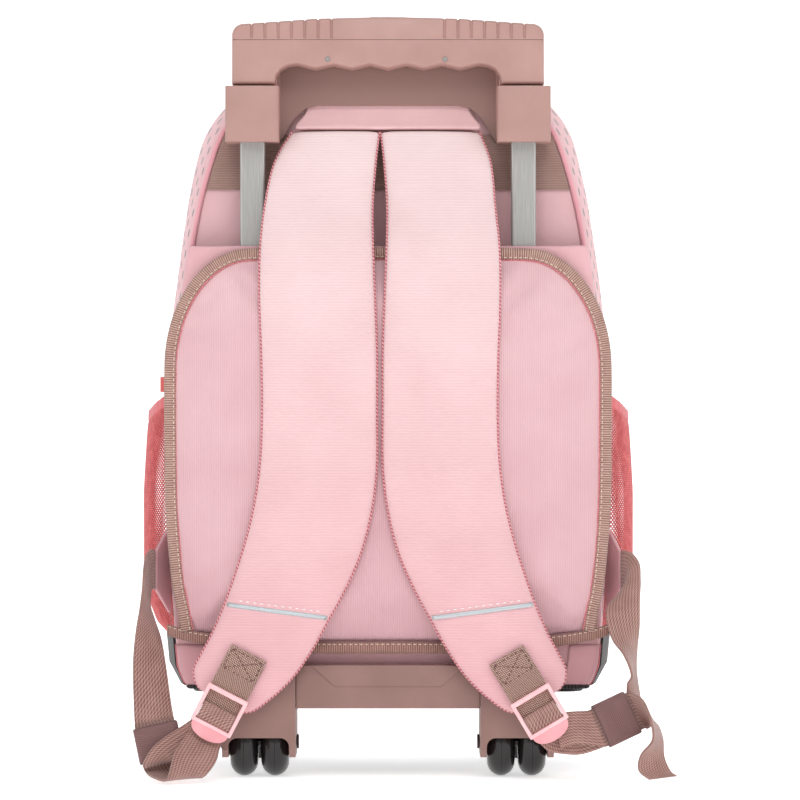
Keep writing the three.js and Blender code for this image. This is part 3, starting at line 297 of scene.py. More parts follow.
seam_look, shader = surface("seam_shadow", (112, 82, 76), 0.6)
tree = seam_look.node_tree
vector, _ = coordinates(tree)
shaded(tree, shader, cloudy(tree, vector, 10, 2), (0.3, (96, 70, 65)), (0.7, (128, 94, 87)))
bm = bmesh.new()
grip_left, grip_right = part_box("grip")
seam_place = Vector(((grip_left[0] + grip_right[0]) / 2, grip_left[1] + 0.2 * MM, spot(0, 0, 504).z))
seam_size = Matrix.Diagonal(Vector((grip_right[0] - grip_left[0] - 1.2 * MM, 0.5 * MM, 0.4 * MM, 1)))
bmesh.ops.create_cube(bm, size=1, matrix=Matrix.Translation(seam_place) @ seam_size)
piece_from(bm, "grip_seam", seam_look, "handle", crease=40)


# The base: two wheel housings under the ends of the tubes and the crossbar between them, all
# of mauve plastic with a matt grain.
base_plastic = plastic("moulded_base", (150, 116, 108), (139, 106, 99), 0.5)
for side in ("left", "right"):
    moulded(f"housing_{side}", f"wheel_housing_{side}", base_plastic, 1.2)
moulded("crossbar", "base_crossbar", base_plastic, 1.0)


# The wheels: glossy black twin wheels with a rounded tread, a moulding line and a recessed
# hub on each face. Each turns on a dark steel axle with a screw head on both ends.
wheel_plastic, shader = surface("wheel_gloss", (26, 24, 24), 0.14)
tree = wheel_plastic.node_tree
vector, (x, y, z) = coordinates(tree)
shaded(tree, shader, cloudy(tree, vector, 6, 3), (0.3, (20, 18, 18)), (0.7, (30, 27, 27)))
wear = add_node(tree, "ShaderNodeMapRange")
wear.inputs["To Min"].default_value, wear.inputs["To Max"].default_value = 0.1, 0.3
link(tree, cloudy(tree, vector, 3, 4), wear.inputs[0])
link(tree, wear.outputs[0], shader.inputs["Roughness"])
wheel_radius, wheel_wide, bore = 23.5, 19.2, 3.6
wheel_places = {"left_outer": -98.6, "left_inner": -77.4, "right_outer": 98.6, "right_inner": 77.4}
half = wheel_wide / 2
rim = [(bore, -half * 0.72), (8, -half * 0.72), (9, -half * 0.98), (12.5, -half)]
rim += [
    (13.5 + 10 * math.cos(a), half * math.sin(a))
    for a in (math.radians(d) for d in (-75, -60, -45, -30, -15, -4, -1.5, 0, 1.5, 4, 15, 30, 45, 60, 75))
]
rim += [(12.5, half), (9, half * 0.98), (8, half * 0.72), (bore, half * 0.72)]
for name, x in wheel_places.items():
    bm = bmesh.new()
    ring = []
    for radius, out in rim:
        sunk = 0.25 if abs(out) < 0.2 else 0
        ring.append(bm.verts.new(spot(x + out, 6, 23.5 + radius - sunk)))
    edges = [bm.edges.new(pair) for pair in zip(ring, ring[1:] + ring[:1])]
    bmesh.ops.spin(
        bm, geom=ring + edges, cent=spot(x, 6, 23.5), axis=(1, 0, 0), angle=math.tau, steps=56, use_merge=True)
    bmesh.ops.remove_doubles(bm, verts=bm.verts[:], dist=1e-6)
    piece_from(
        bm, f"wheel_tyre_{name}", wheel_plastic, f"wheel_{name}_body",
        (f"wheel_{name}",), crease=50)

axle_metal, shader = surface("axle_steel", (70, 62, 60), 0.3, Metallic=0.8)
tree = axle_metal.node_tree
vector, _ = coordinates(tree)
bumped(tree, shader, cloudy(tree, vector, 0.5, 2), 0.05)
for side in ("left", "right"):
    moulded(f"axle_pin_{side}", f"axle_{side}", axle_metal, 0.4)


# Base plate and front feet: black ribbed plastic, screwed to the foot of the bag.
black_plastic = plastic("moulded_black", (34, 31, 31), (26, 24, 24), 0.5, 0.05)
moulded("base_plate", "base_tray", black_plastic, 0.8)
for side in ("left", "right"):
    moulded(f"foot_{side}", f"front_foot_{side}", black_plastic, 1.5)


# The bag's main compartment: soft printed polyester round the sides and a plain pink back
# wall, sewn together with a round pink piping. The sides swell and show rows of grey dots.
def smooth_run(points, steps, closed=False):
    """Points of a smooth curve through these points, with this many steps to each span."""
    count = len(points)
    spans = count if closed else count - 1
    run = []
    for k in range(spans):
        if closed:
            p = [points[(k + i) % count] for i in (-1, 0, 1, 2)]
        else:
            before = points[k - 1] if k else points[0] * 2 - points[1]
            after = points[k + 2] if k + 2 < count else points[-1] * 2 - points[-2]
            p = [before, points[k], points[k + 1], after]
        d = [max((p[i + 1] - p[i]).length ** 0.5, 1e-4) for i in range(3)]
        start = ((p[1] - p[0]) / d[0] - (p[2] - p[0]) / (d[0] + d[1]) + (p[2] - p[1]) / d[1]) * d[1]
        end = ((p[2] - p[1]) / d[1] - (p[3] - p[1]) / (d[1] + d[2]) + (p[3] - p[2]) / d[2]) * d[1]
        for s in range(steps):
            t = s / steps
            run.append(
                p[1] + start * t + (p[2] * 3 - p[1] * 3 - start * 2 - end) * t ** 2
                + (p[1] * 2 - p[2] * 2 + start + end) * t ** 3)
    return run if closed else run + [points[-1].copy()]


def evened(points, count, closed=False):
    """The same run of points, spaced evenly."""
    ring = points + points[:1] if closed else points
    far = [0.0]
    for a, b in zip(ring, ring[1:]):
        far.append(far[-1] + (b - a).length)
    made, k = [], 0
    for i in range(count):
        goal = far[-1] * i / (count if closed else count - 1)
        while k < len(far) - 2 and far[k + 1] < goal:
            k += 1
        made.append(ring[k].lerp(ring[k + 1], (goal - far[k]) / max(far[k + 1] - far[k], 1e-9)))
    return made


def table_at(rows, value):
    """A value from a table of (place, value), with a straight line between its rows."""
    for (a, first), (b, second) in zip(rows, rows[1:]):
        if value <= b:
            return first + (second - first) * max(0, value - a) / (b - a)
    return rows[-1][1]


def skin(rings, wrap=False, hoop=False, fills=True):
    """A mesh through rings of equal count, made from a grid. UVs hold millimetres across and along."""
    count, rows = len(rings[0]), len(rings)
    wide = count if wrap else count - 1
    long = rows if hoop else rows - 1
    middle = rings[rows // 2]
    closing = middle + middle[:1] if wrap else middle
    across = sum((b - a).length for a, b in zip(closing, closing[1:])) / MM
    k = count // 4
    along = sum((b[k] - a[k]).length for a, b in zip(rings, rings[1:])) / MM
    bm = bmesh.new()
    uv = bm.loops.layers.uv.new("UVMap")
    bmesh.ops.create_grid(bm, x_segments=wide, y_segments=long, size=0.5, calc_uvs=True)
    for face in bm.faces:
        for loop in face.loops:
            loop[uv].uv = (loop[uv].uv.x * across * MM, loop[uv].uv.y * along * MM)
    for vert in bm.verts:
        i = round((vert.co.x + 0.5) * wide) % count
        j = round((vert.co.y + 0.5) * long) % rows
        vert.co = rings[j][i]
    if wrap or hoop:
        bmesh.ops.remove_doubles(bm, verts=bm.verts[:], dist=1e-7)
    if wrap and not hoop and fills:
        ends = [e for e in bm.edges if len(e.link_faces) == 1]
        bmesh.ops.holes_fill(bm, edges=ends, sides=0)
    return bm


def swept(path, sides, outline, closed=False):
    """An outline of (across, up) in millimetres drawn along a path; sides points across."""
    rings = []
    count = len(path)
    for k in range(count):
        ahead = path[(k + 1) % count] if closed else path[min(k + 1, count - 1)]
        behind = path[k - 1] if closed or k else path[0]
        along = (ahead - behind).normalized()
        side = (sides[k] - along * sides[k].dot(along)).normalized()
        up = along.cross(side)
        rings.append([path[k] + side * a * MM + up * b * MM for a, b in outline(k / count)])
    return skin(rings, wrap=True, hoop=closed)


def round_cord(path, radius, closed=False, around=10, facing=(0, 1, 0)):
    """A round cord along a path."""
    circle = [(radius * math.cos(math.tau * i / around), radius * math.sin(math.tau * i / around))
              for i in range(around)]
    return swept(path, [Vector(facing)] * len(path), lambda t: circle, closed)


def weave(tree, across, along, pitch_across, pitch_along):
    """Height of a plain weave, 0 to 1, with these pitches in millimetres."""
    a = maths(tree, "SINE", maths(tree, "MULTIPLY", across, math.tau / pitch_across))
    b = maths(tree, "SINE", maths(tree, "MULTIPLY", along, math.tau / pitch_along))
    return maths(tree, "MULTIPLY_ADD", maths(tree, "MULTIPLY", a, b), 0.5, 0.5)


def ribs(tree, across, pitch):
    """Height of straight ribs, 0 to 1."""
    return maths(tree, "MULTIPLY_ADD", maths(tree, "SINE", maths(tree, "MULTIPLY", across, math.tau / pitch)), 0.5, 0.5)


def painted_shade_below(tree, shader, shade_tint, low, high):
    """Lays painted shade over the colour: full at the low height, fading out by the high height, in millimetres."""
    vector, (x, y, z) = coordinates(tree)
    share = add_node(tree, "ShaderNodeMapRange")
    share.inputs["From Min"].default_value, share.inputs["From Max"].default_value = low, high
    share.inputs["To Min"].default_value, share.inputs["To Max"].default_value = 1, 0
    link(tree, z, share.inputs[0])
    mixer = add_node(tree, "ShaderNodeMix", data_type="RGBA", blend_type="MULTIPLY")
    link(tree, share.outputs[0], mixer.inputs["Factor"])
    link(tree, shader.inputs["Base Color"].links[0].from_socket, mixer.inputs["A"])
    mixer.inputs["B"].default_value = (*shade_tint, 1)
    link(tree, mixer.outputs["Result"], shader.inputs["Base Color"])


def cloth_look(name, light, dark, pitch=0.9, depth=0.12, source="UV", ribbed=None, creases=0.5):
    """Woven cloth: a fine weave, optional ribs of (axis, pitch, share), patches and soft creases."""
    made, shader = surface(name, light, 0.82, Sheen_Weight=0.35, Sheen_Roughness=0.5, Specular_IOR_Level=0.25)
    tree = made.node_tree
    vector, axes = coordinates(tree, source)
    solid, _ = coordinates(tree)
    fine = weave(tree, axes[0], axes[1 if source == "UV" else 2], pitch, pitch)
    height = fine
    if ribbed:
        axis, rib_pitch, share = ribbed
        height = maths(tree, "MULTIPLY_ADD", ribs(tree, axes[axis], rib_pitch), share, maths(tree, "MULTIPLY", fine, 1 - share))
    patchy = cloudy(tree, solid, 45, 3)
    tone = maths(tree, "MULTIPLY_ADD", height, 0.35, maths(tree, "MULTIPLY", patchy, 0.65))
    shaded(tree, shader, tone, (0.25, dark), (0.75, light))
    crease = cloudy(tree, solid, 22, 3)
    both = maths(tree, "MULTIPLY_ADD", crease, creases / depth, height)
    bumped(tree, shader, both, depth)
    return made, shader


body_rows = (
    (0, 0.87), (0.007, 0.93), (0.035, 0.965), (0.094, 0.98), (0.187, 0.995), (0.304, 1), (0.422, 1),
    (0.539, 0.985), (0.632, 0.953), (0.719, 0.92), (0.785, 0.885), (0.843, 0.84), (0.89, 0.793),
    (0.925, 0.73), (0.956, 0.64), (0.979, 0.5), (0.995, 0.3))
body_half, body_bottom, body_height, body_back, shell_depth = 150, 60, 427, 19, 100
around_count = 180


def body_half_at(z):
    return body_half * table_at(body_rows, (z - body_bottom) / body_height)


half_line = [Vector((body_half * wide, 0, body_bottom + body_height * up)) for up, wide in body_rows]
top_point = Vector((0, 0, body_bottom + body_height))
round_line = half_line + [top_point] + [Vector((-p.x, 0, p.z)) for p in reversed(half_line)]
body_line = evened(smooth_run(round_line, 6) + [Vector((0, 0, body_bottom))], around_count, closed=True)


def body_ring(y, out, share=1.0, line=body_line):
    """The bag's outline at this depth, grown outwards, or drawn in to a share of itself."""
    ring = []
    centre = Vector((0, 0, body_bottom + body_height / 2))
    for k, p in enumerate(line):
        along = (line[(k + 1) % len(line)] - line[k - 1]).normalized()
        normal = Vector((along.z, 0, -along.x))
        up = (p.z - body_bottom) / body_height
        shoulder = 1 + max(0.0, min(1.0, (up - 0.75) / 0.2)) * max(out, 0) / 7
        grown = p + Vector((normal.x * out * shoulder, 0, max(normal.z * out, 0) if out > 0 else normal.z * out))
        placed = centre + (grown - centre) * share
        ring.append(spot(placed.x, y, placed.z))
    return ring


def softly(ring, size, amount, seed=0.0):
    """Moves each point a little along y and away from the middle, as slack cloth lies."""
    moved = []
    for p in ring:
        n = noise.noise(p / (size * MM) + Vector((seed, 0, 0)))
        moved.append(p + Vector((p.x - middle_x, 0, p.z - 0.27)).normalized() * n * amount * MM)
    return moved


shell_rows = ((0, -4.2), (0.03, -1.2), (0.08, 1.2), (0.16, 3), (0.25, 4.5), (0.38, 6.1), (0.5, 7), (0.75, 7), (0.9, 6.2), (1, 5))
printed, shader = cloth_look("dotted_gusset", (236, 190, 194), (224, 176, 181), 0.8, 0.1, creases=0.8)
tree = printed.node_tree
vector, (u, v, w) = coordinates(tree, "UV")
dot_pitch, dot_size = 15.0, 3.1
row = maths(tree, "FLOOR", maths(tree, "DIVIDE", v, dot_pitch))
shift = maths(tree, "MULTIPLY", maths(tree, "MODULO", row, 2), dot_pitch / 2)
du = maths(tree, "SUBTRACT", maths(tree, "MODULO", maths(tree, "ADD", u, shift), dot_pitch), dot_pitch / 2)
dv = maths(tree, "SUBTRACT", maths(tree, "MODULO", v, dot_pitch), dot_pitch / 2)
from_dot = maths(tree, "SQRT", maths(tree, "ADD", maths(tree, "MULTIPLY", du, du), maths(tree, "MULTIPLY", dv, dv)))
in_dot = maths(tree, "LESS_THAN", from_dot, dot_size)
mixer = add_node(tree, "ShaderNodeMix", data_type="RGBA")
link(tree, in_dot, mixer.inputs["Factor"])
link(tree, shader.inputs["Base Color"].links[0].from_socket, mixer.inputs["A"])
mixer.inputs["B"].default_value = linear((160, 142, 143))
link(tree, mixer.outputs["Result"], shader.inputs["Base Color"])
rings = []
for back, out in shell_rows:
    rings.append(softly(body_ring(body_back + shell_depth * back, out), 45, 1.2 if 0 < back < 1 else 0))
bm = skin(rings, wrap=True, fills=False)
gusset = piece_from(bm, "bag_gusset", printed, stands_for=("bag_shell",), levels=1)
wall = gusset.modifiers.new("Wall", "SOLIDIFY")
wall.thickness, wall.offset = -2.2 * MM, 1

plain_pink, shader = cloth_look("pink_cloth", (240, 196, 200), (224, 180, 184), 0.9, 0.12, source="Object", creases=1.2)
rings = [body_ring(body_back + dy, out, share) for dy, out, share in (
    (2.6, -6.5, 1), (0.3, -4.4, 1), (0, -6, 1), (0.15, -9, 1), (0.2, -20, 1), (0.2, -40, 1), (0.2, -40, 0.7),
    (0.2, -40, 0.4), (0.2, -40, 0.1))]
bm = skin(rings, wrap=True)
piece_from(bm, "back_wall", plain_pink, levels=1)
piping_look, shader = cloth_look("piping_cloth", (238, 176, 184), (222, 150, 160), 0.7, 0.1, creases=0.1)
bm = round_cord(body_ring(body_back - 0.4, -3.2), 1.7, closed=True)
piece_from(bm, "back_piping", piping_look)


# The zip: a pink tape with two rows of interlocked coil teeth down its middle, sewn between
# the main compartment and the front lid, with two coral sliders that meet at the top.
zip_front, zip_wide = 119.3, 11.4
tape_look, shader = cloth_look("zip_tape_cloth", (226, 178, 183), (206, 156, 162), 0.7, 0.15, creases=0.1)
rings = []
for y, out in ((0, 2), (0, 5.2), (2, 5.6), (4.2, 5.7), (4.8, 5.3), (6.6, 5.3), (7.2, 5.7), (9.4, 5.6), (11.4, 5.2), (11.4, 2)):
    rings.append([Vector((p.x, p.y, max(p.z, body_bottom * MM))) for p in body_ring(zip_front + y, out)])
bm = skin(rings, wrap=True, hoop=True)
piece_from(bm, "zip_tape", tape_look, stands_for=("zip_band",), levels=1)

teeth_look, shader = surface("zip_coil", (232, 190, 194), 0.35)
tree = teeth_look.node_tree
vector, _ = coordinates(tree)
shaded(tree, shader, cloudy(tree, vector, 2, 2), (0.3, (220, 172, 178)), (0.7, (238, 198, 202)))
tooth_pitch, tooth_size = 2.2, (1.3, 2.6, 1.0)
line = [p for p in body_ring(zip_front + zip_wide / 2, 5.8) if p.z > (body_bottom + 2) * MM]
start = next(k for k in range(len(line)) if (line[k] - line[k - 1]).length > 0.05)
line = line[start:] + line[:start]
total = sum((b - a).length for a, b in zip(line, line[1:]))
line = evened(line, int(total / (tooth_pitch * MM)))
bm = bmesh.new()
for k in range(1, len(line) - 1):
    along = (line[k + 1] - line[k - 1]).normalized()
    across = Vector((0, 1, 0))
    up = along.cross(across)
    axes = Matrix((along * tooth_size[0], across * tooth_size[1], up * tooth_size[2])).transposed().to_4x4()
    axes = axes @ Matrix.Scale(MM, 4)
    stagger = 0.9 * MM if k % 2 else -0.9 * MM
    place = Matrix.Translation(line[k] + across * stagger) @ axes
    bmesh.ops.create_uvsphere(bm, u_segments=6, v_segments=4, radius=0.62, matrix=place)
piece_from(bm, "zip_teeth", teeth_look)

slider_look = plastic("slider_enamel", (214, 112, 106), (200, 98, 94), 0.3, 0.01)
for side in ("left", "right"):
    moulded(f"slider_{side}", f"zip_slider_{side}", slider_look, 0.8)


# The front lid: a padded pink panel that closes the compartment, with a rounded crown, a
# piping round its face and a row of stitches just inside the piping.
lid_look, shader = cloth_look("lid_cloth", (228, 186, 190), (212, 168, 173), 0.9, 0.12, source="Object", creases=1.6)
lid_start, lid_depth = 131.0, 54
lid_rows = (
    (0, 5, 1), (0.18, 5, 1), (0.37, 5, 1), (0.5, 5, 0.995), (0.65, 5, 0.983), (0.76, 5, 0.962), (0.85, 5, 0.93),
    (0.92, 5, 0.885), (0.96, 5, 0.835), (0.985, 5, 0.74), (0.995, 5, 0.6), (1, 5, 0.35), (1, 5, 0.1))
rings = [softly(body_ring(lid_start + lid_depth * out, grow, share), 60, 1.0 if out > 0.2 else 0)
         for out, grow, share in lid_rows]
bm = skin(rings, wrap=True, fills=False)
rim_edges = [e for e in bm.edges if len(e.link_faces) == 1 and e.verts[0].co.y > spot(0, 150, 0).y]
bmesh.ops.holes_fill(bm, edges=rim_edges, sides=0)
lid = piece_from(bm, "lid_shell", lid_look, stands_for=("front_lid",), levels=1)
wall = lid.modifiers.new("Wall", "SOLIDIFY")
wall.thickness, wall.offset = -2.2 * MM, 1
bm = round_cord(body_ring(lid_start + lid_depth * 0.8, 5, 0.953), 1.8, closed=True)
piece_from(bm, "lid_piping", piping_look)


def stitches(name, path, pitch, length, radius, material, facing=(0, -1, 0)):
    """Separate stitches along a path, each a small bead of thread lying on the cloth."""
    total = sum((b - a).length for a, b in zip(path, path[1:]))
    ends = evened(path, max(3, int(total / (pitch * MM))))
    bm = bmesh.new()
    for a, b in zip(ends, ends[1:]):
        along = (b - a).normalized()
        side = along.cross(Vector(facing)).normalized()
        up = side.cross(along)
        axes = Matrix((along * length / 2, side * radius, up * radius * 0.7)).transposed().to_4x4()
        place = Matrix.Translation((a + b) / 2) @ axes @ Matrix.Scale(MM, 4)
        bmesh.ops.create_uvsphere(bm, u_segments=6, v_segments=5, radius=1, matrix=place)
    return piece_from(bm, name, material)


pale_thread, shader = surface("pale_thread", (244, 214, 214), 0.7, Sheen_Weight=0.3)
tree = pale_thread.node_tree
vector, _ = coordinates(tree)
shaded(tree, shader, cloudy(tree, vector, 1, 2), (0.3, (232, 198, 200)), (0.7, (250, 226, 226)))
seam = body_ring(lid_start + lid_depth * 0.93 + 0.9, 5, 0.872)
stitches("lid_stitches", seam + seam[:1], 4, 2.8, 0.45, pale_thread, (0, 1, 0))


# The skirt: a black woven strip round the foot of the sides and the front, hemmed at its top.
skirt_look, shader = cloth_look("black_skirt_cloth", (44, 40, 42), (28, 25, 27), 1.1, 0.2, source="Object", creases=0.4)
bm = bmesh.new()
bm.from_mesh(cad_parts["base_skirt"].data)
bmesh.ops.remove_doubles(bm, verts=bm.verts[:], dist=1e-5)
piece_from(bm, "foot_skirt", skirt_look, stands_for=("base_skirt",), crease=40)


# The band: a wide taupe webbing sewn across the upper back wall, with a coarse crosswise rib.
band_look, shader = cloth_look(
    "band_webbing", (176, 144, 134), (140, 108, 100), 1.0, 0.25, source="Object", ribbed=(2, 1.7, 0.7), creases=0.6)
band_bottom, band_top, band_front, band_thick = 403.0, 441.0, 17.2, 1.5
rings = []
for k in range(15):
    z = band_bottom + (band_top - band_bottom) * k / 14
    reach = body_half_at(z) - 5.3
    thin = 0.5 if k in (0, 14) else 0
    front = [Vector((-reach + 2 * reach * i / 60, band_front + thin, z)) for i in range(61)]
    back = [Vector((p.x, band_front + band_thick - thin, z)) for p in reversed(front)]
    rings.append([spot(*p) for p in front + back])
bm = skin(rings, wrap=True)
piece_from(bm, "woven_band", band_look, stands_for=("back_band",), crease=50)


# The sleeve: a pink cloth layer over the tubes, turned back to the side seams, with a slack
# rolled top edge. Its foot is bound with black toothed tape under a thin pink piping.
sleeve_look, shader = cloth_look(
    "sleeve_cloth", (232, 184, 189), (206, 158, 164), 0.9, 0.12, source="Object", creases=1.6)
sleeve_front, sleeve_top, sleeve_foot, sleeve_back = -9.0, 363.0, 61.0, 18.2
notch_half, notch_top = 113.5 + 1.5, 78.0


def sleeve_row(z, front_y, count=96):
    reach = body_half_at(z) - 1.5
    side_turn = 4.0
    row = []
    for k in range(count + 1):
        t = -1 + 2 * k / count
        if abs(t) > 0.9:
            far = (abs(t) - 0.9) / 0.1
            turn = min(far * 3, 1) * math.pi / 2
            x = reach - side_turn + side_turn * math.sin(turn)
            y = front_y + side_turn * (1 - math.cos(turn)) + max(0, far - 1 / 3) * 1.5 * (sleeve_back - front_y - side_turn)
            row.append(spot(math.copysign(x, t), y, z))
        else:
            row.append(spot(t / 0.9 * (reach - side_turn), front_y, z))
    return row


rings = []
for z, inward in ((notch_top, 0.3), (110, 0.3), (160, 0.3), (210, 0.3), (260, 0.3), (300, 0.3), (330, 0.4), (350, 0.3), (359, 0), (362, 0), (362.8, 0.9), (362, 2), (358, 2.2)):
    row = []
    for p in sleeve_row(z, sleeve_front + inward):
        slack = 1.3 * noise.noise(Vector((p.x * 28, 0, 3))) * max(0, (z - 340) / 23)
        row.append(p + Vector((0, 0, slack * MM)))
    rings.append(row)
bm = skin(rings)
sleeve = piece_from(bm, "sleeve_cloth_layer", sleeve_look, stands_for=("back_sleeve",), levels=1)
wall = sleeve.modifiers.new("Wall", "SOLIDIFY")
wall.thickness, wall.offset = -1.6 * MM, 0

# Painted shade: the foot flaps use a darker copy of the sleeve's pink cloth for the shade that falls on them under the
# pad.
shaded_flap_look, shader = cloth_look("flap_cloth_painted_shade", (216, 166, 172), (196, 146, 152), 0.9, 0.12, source="Object", creases=1.2)
flap_piping, shader = cloth_look("flap_piping_cloth", (214, 128, 134), (190, 100, 108), 0.7, 0.1, creases=0.1)
toothed_look, shader = surface("toothed_tape", (26, 20, 22), 0.6)
tree = toothed_look.node_tree
vector, (x, y, z) = coordinates(tree)
tooth = ribs(tree, x, 2.3)
shaded(tree, shader, tooth, (0.2, (14, 8, 10)), (0.8, (52, 44, 46)))
bumped(tree, shader, tooth, 0.6)
for sign, side in ((-1, "left"), (1, "right")):
    rings = []
    for z in (sleeve_foot + 1.5, 66, 70, 76, 82, 87, 91):
        rings.append([p for p in sleeve_row(z, sleeve_front - 0.5) if sign * (p.x - middle_x) > notch_half * MM])
    shortest = min(len(ring) for ring in rings)
    rings = [ring[:shortest] if sign < 0 else ring[-shortest:] for ring in rings]
    bm = skin(rings)
    flap = piece_from(bm, f"foot_flap_{side}", shaded_flap_look, levels=1)
    wall = flap.modifiers.new("Wall", "SOLIDIFY")
    wall.thickness, wall.offset = -1.6 * MM, 0
    corner = [ring[3 if sign < 0 else -4] + Vector((sign * 0.4, -0.5, 0)) * MM for ring in rings]
    bm = round_cord(corner, 0.9, around=8, facing=(1, 0, 0))
    piece_from(bm, f"flap_piping_{side}", flap_piping)
    foot_line = [p + Vector((0, 0, -0.2 * MM)) for p in rings[0]]
    bm = round_cord(foot_line, 1.7)
    piece_from(bm, f"toothed_edge_{side}", toothed_look)


# The back pad: a thick cushion of vertically ribbed pink cloth over foam, sewn down all round
# its margin. It is blown up a little so that the cloth stands tight over the foam.
panel_half, panel_bottom, panel_height = 152.8, 88.9, 272.8
panel_corner_wide, panel_corner_tall = 59, 82
panel_back, panel_front = -9.5, -25.8
panel_rows = (
    (0, 0.334), (0.011, 0.654), (0.022, 0.811), (0.039, 0.926), (0.092, 0.942), (0.145, 0.962), (0.245, 0.982),
    (0.37, 0.996), (0.554, 1))
panel_side = [Vector((panel_half * wide, 0, panel_bottom + panel_height * up)) for up, wide in panel_rows]
for k in range(12):
    turn = math.pi / 2 * k / 11
    panel_side.append(Vector((
        panel_half + panel_corner_wide * (math.cos(turn) - 1), 0,
        panel_bottom + panel_height + panel_corner_tall * (math.sin(turn) - 1))))
panel_line = panel_side + [Vector((-p.x, 0, p.z)) for p in reversed(panel_side)]
panel_line = evened(panel_line, 200, closed=True)
panel_centre = Vector((0, 0, panel_bottom + panel_height / 2))


def panel_ring(y, inset, share=1.0):
    ring = []
    for p in panel_line:
        away = (p - panel_centre) * share
        ring.append(spot(
            away.x * (1 - inset / panel_half), y, panel_centre.z + away.z * (1 - 2 * inset / panel_height)))
    return ring


pad_look, shader = cloth_look(
    "ribbed_pad_cloth", (228, 192, 196), (212, 170, 176), 0.9, 0.16, source="Object", ribbed=(0, 1.5, 0.75), creases=0.8)
# Painted shade: the pad cloth darkens towards its foot, fading out by 330 millimetres.
painted_shade_below(pad_look.node_tree, shader, (0.92, 0.86, 0.88), 90, 330)
pad_rings = (
    (panel_back, 2, 0.2), (panel_back, 2, 0.6), (panel_back, 2, 1), (-11, 1.2, 1), (-12.2, 2.5, 1), (-12.6, 7.5, 1),
    (-14.2, 9.5, 1), (-17.5, 10.5, 0.995), (-20, 11, 0.975), (-21.6, 11, 0.94), (-22.6, 11, 0.88), (-23.2, 11, 0.75),
    (-23.4, 11, 0.5), (-23.5, 11, 0.2))
bm = skin([panel_ring(y, inset, share) for y, inset, share in pad_rings], wrap=True)
pad = piece_from(bm, "back_pad", pad_look, stands_for=("back_panel",))


def blown_up(piece, voxel, pressure, cap, held):
    """Turns the shape into cloth and blows it up a little; held says which points stay."""
    remesh = piece.modifiers.new("Even", "REMESH")
    remesh.mode, remesh.voxel_size = "VOXEL", voxel * MM
    even = bpy.data.meshes.new_from_object(piece.evaluated_get(bpy.context.evaluated_depsgraph_get()))
    even.name = piece.name
    piece.modifiers.clear()
    piece.data = even
    rest = [v.co.copy() for v in even.vertices]
    pinned = piece.vertex_groups.new(name="sewn")
    pinned.add([v.index for v in even.vertices if held(v.co)], 1.0, "ADD")
    cloth = piece.modifiers.new("Blow", "CLOTH")
    cloth.settings.vertex_group_mass = "sewn"
    cloth.settings.use_pressure = True
    cloth.settings.uniform_pressure_force = pressure
    cloth.settings.effector_weights.gravity = 0
    cloth.settings.quality = 5
    scene = bpy.context.scene
    scene.frame_start, scene.frame_end = 1, 20
    for step in range(1, 21):
        scene.frame_set(step)
    blown = piece.evaluated_get(bpy.context.evaluated_depsgraph_get())
    places = [v.co.copy() for v in blown.data.vertices]
    piece.modifiers.clear()
    piece.vertex_groups.clear()
    scene.frame_set(1)
    for vert, start, end in zip(piece.data.vertices, rest, places):
        move = end - start
        vert.co = start + move.normalized() * min(move.length, cap * MM) if move.length > 0 else start
        vert.co.y = max(vert.co.y, tube_y + (panel_front + 0.3) * MM)
    for polygon in piece.data.polygons:
        polygon.use_smooth = True
    if not piece.data.materials:
        piece.data.materials.append(pad_look)
    smooth = piece.modifiers.new("Smooth", "SUBSURF")
    smooth.levels = smooth.render_levels = 1


blown_up(pad, 5, 4, 4, lambda p: p.y > tube_y - 13.5 * MM)


# The bindings: coarse taupe grosgrain folded over the pad's edge in an arch, and another tape
# along the foot of the pad. A row of stitches holds each near its inner edge.
def binding_look_of(name, light, dark, source_axis):
    made, shader = surface(name, light, 0.8, Sheen_Weight=0.3, Specular_IOR_Level=0.25)
    tree = made.node_tree
    vector, axes = coordinates(tree, "UV")
    solid, _ = coordinates(tree)
    rib = ribs(tree, axes[source_axis], 1.55)
    fine = ribs(tree, axes[1 - source_axis], 0.8)
    height = maths(tree, "MULTIPLY_ADD", rib, 0.8, maths(tree, "MULTIPLY", fine, 0.2))
    tone = maths(tree, "MULTIPLY_ADD", height, 0.7, maths(tree, "MULTIPLY", cloudy(tree, solid, 6, 3), 0.3))
    shaded(tree, shader, tone, (0.2, dark), (0.8, light))
    bumped(tree, shader, height, 0.35)
    return made


arch_look = binding_look_of("arch_grosgrain", (206, 172, 158), (126, 88, 80), 1)
binding_wide, binding_back, binding_thick = 8.0, -12.8, 3.2
outer_line = [p for p in panel_side if p.z > panel_bottom + 0.035 * panel_height]
arch_path = smooth_run(outer_line + [Vector((-p.x, 0, p.z)) for p in reversed(outer_line)], 4)
arch_path = evened(arch_path, 260)


def along_arch(inset, y):
    run = []
    for k, p in enumerate(arch_path):
        ahead, behind = arch_path[min(k + 1, 259)], arch_path[max(k - 1, 0)]
        along = (ahead - behind).normalized()
        moved = p - Vector((along.z, 0, -along.x)) * inset
        run.append(spot(moved.x, y, moved.z))
    return run


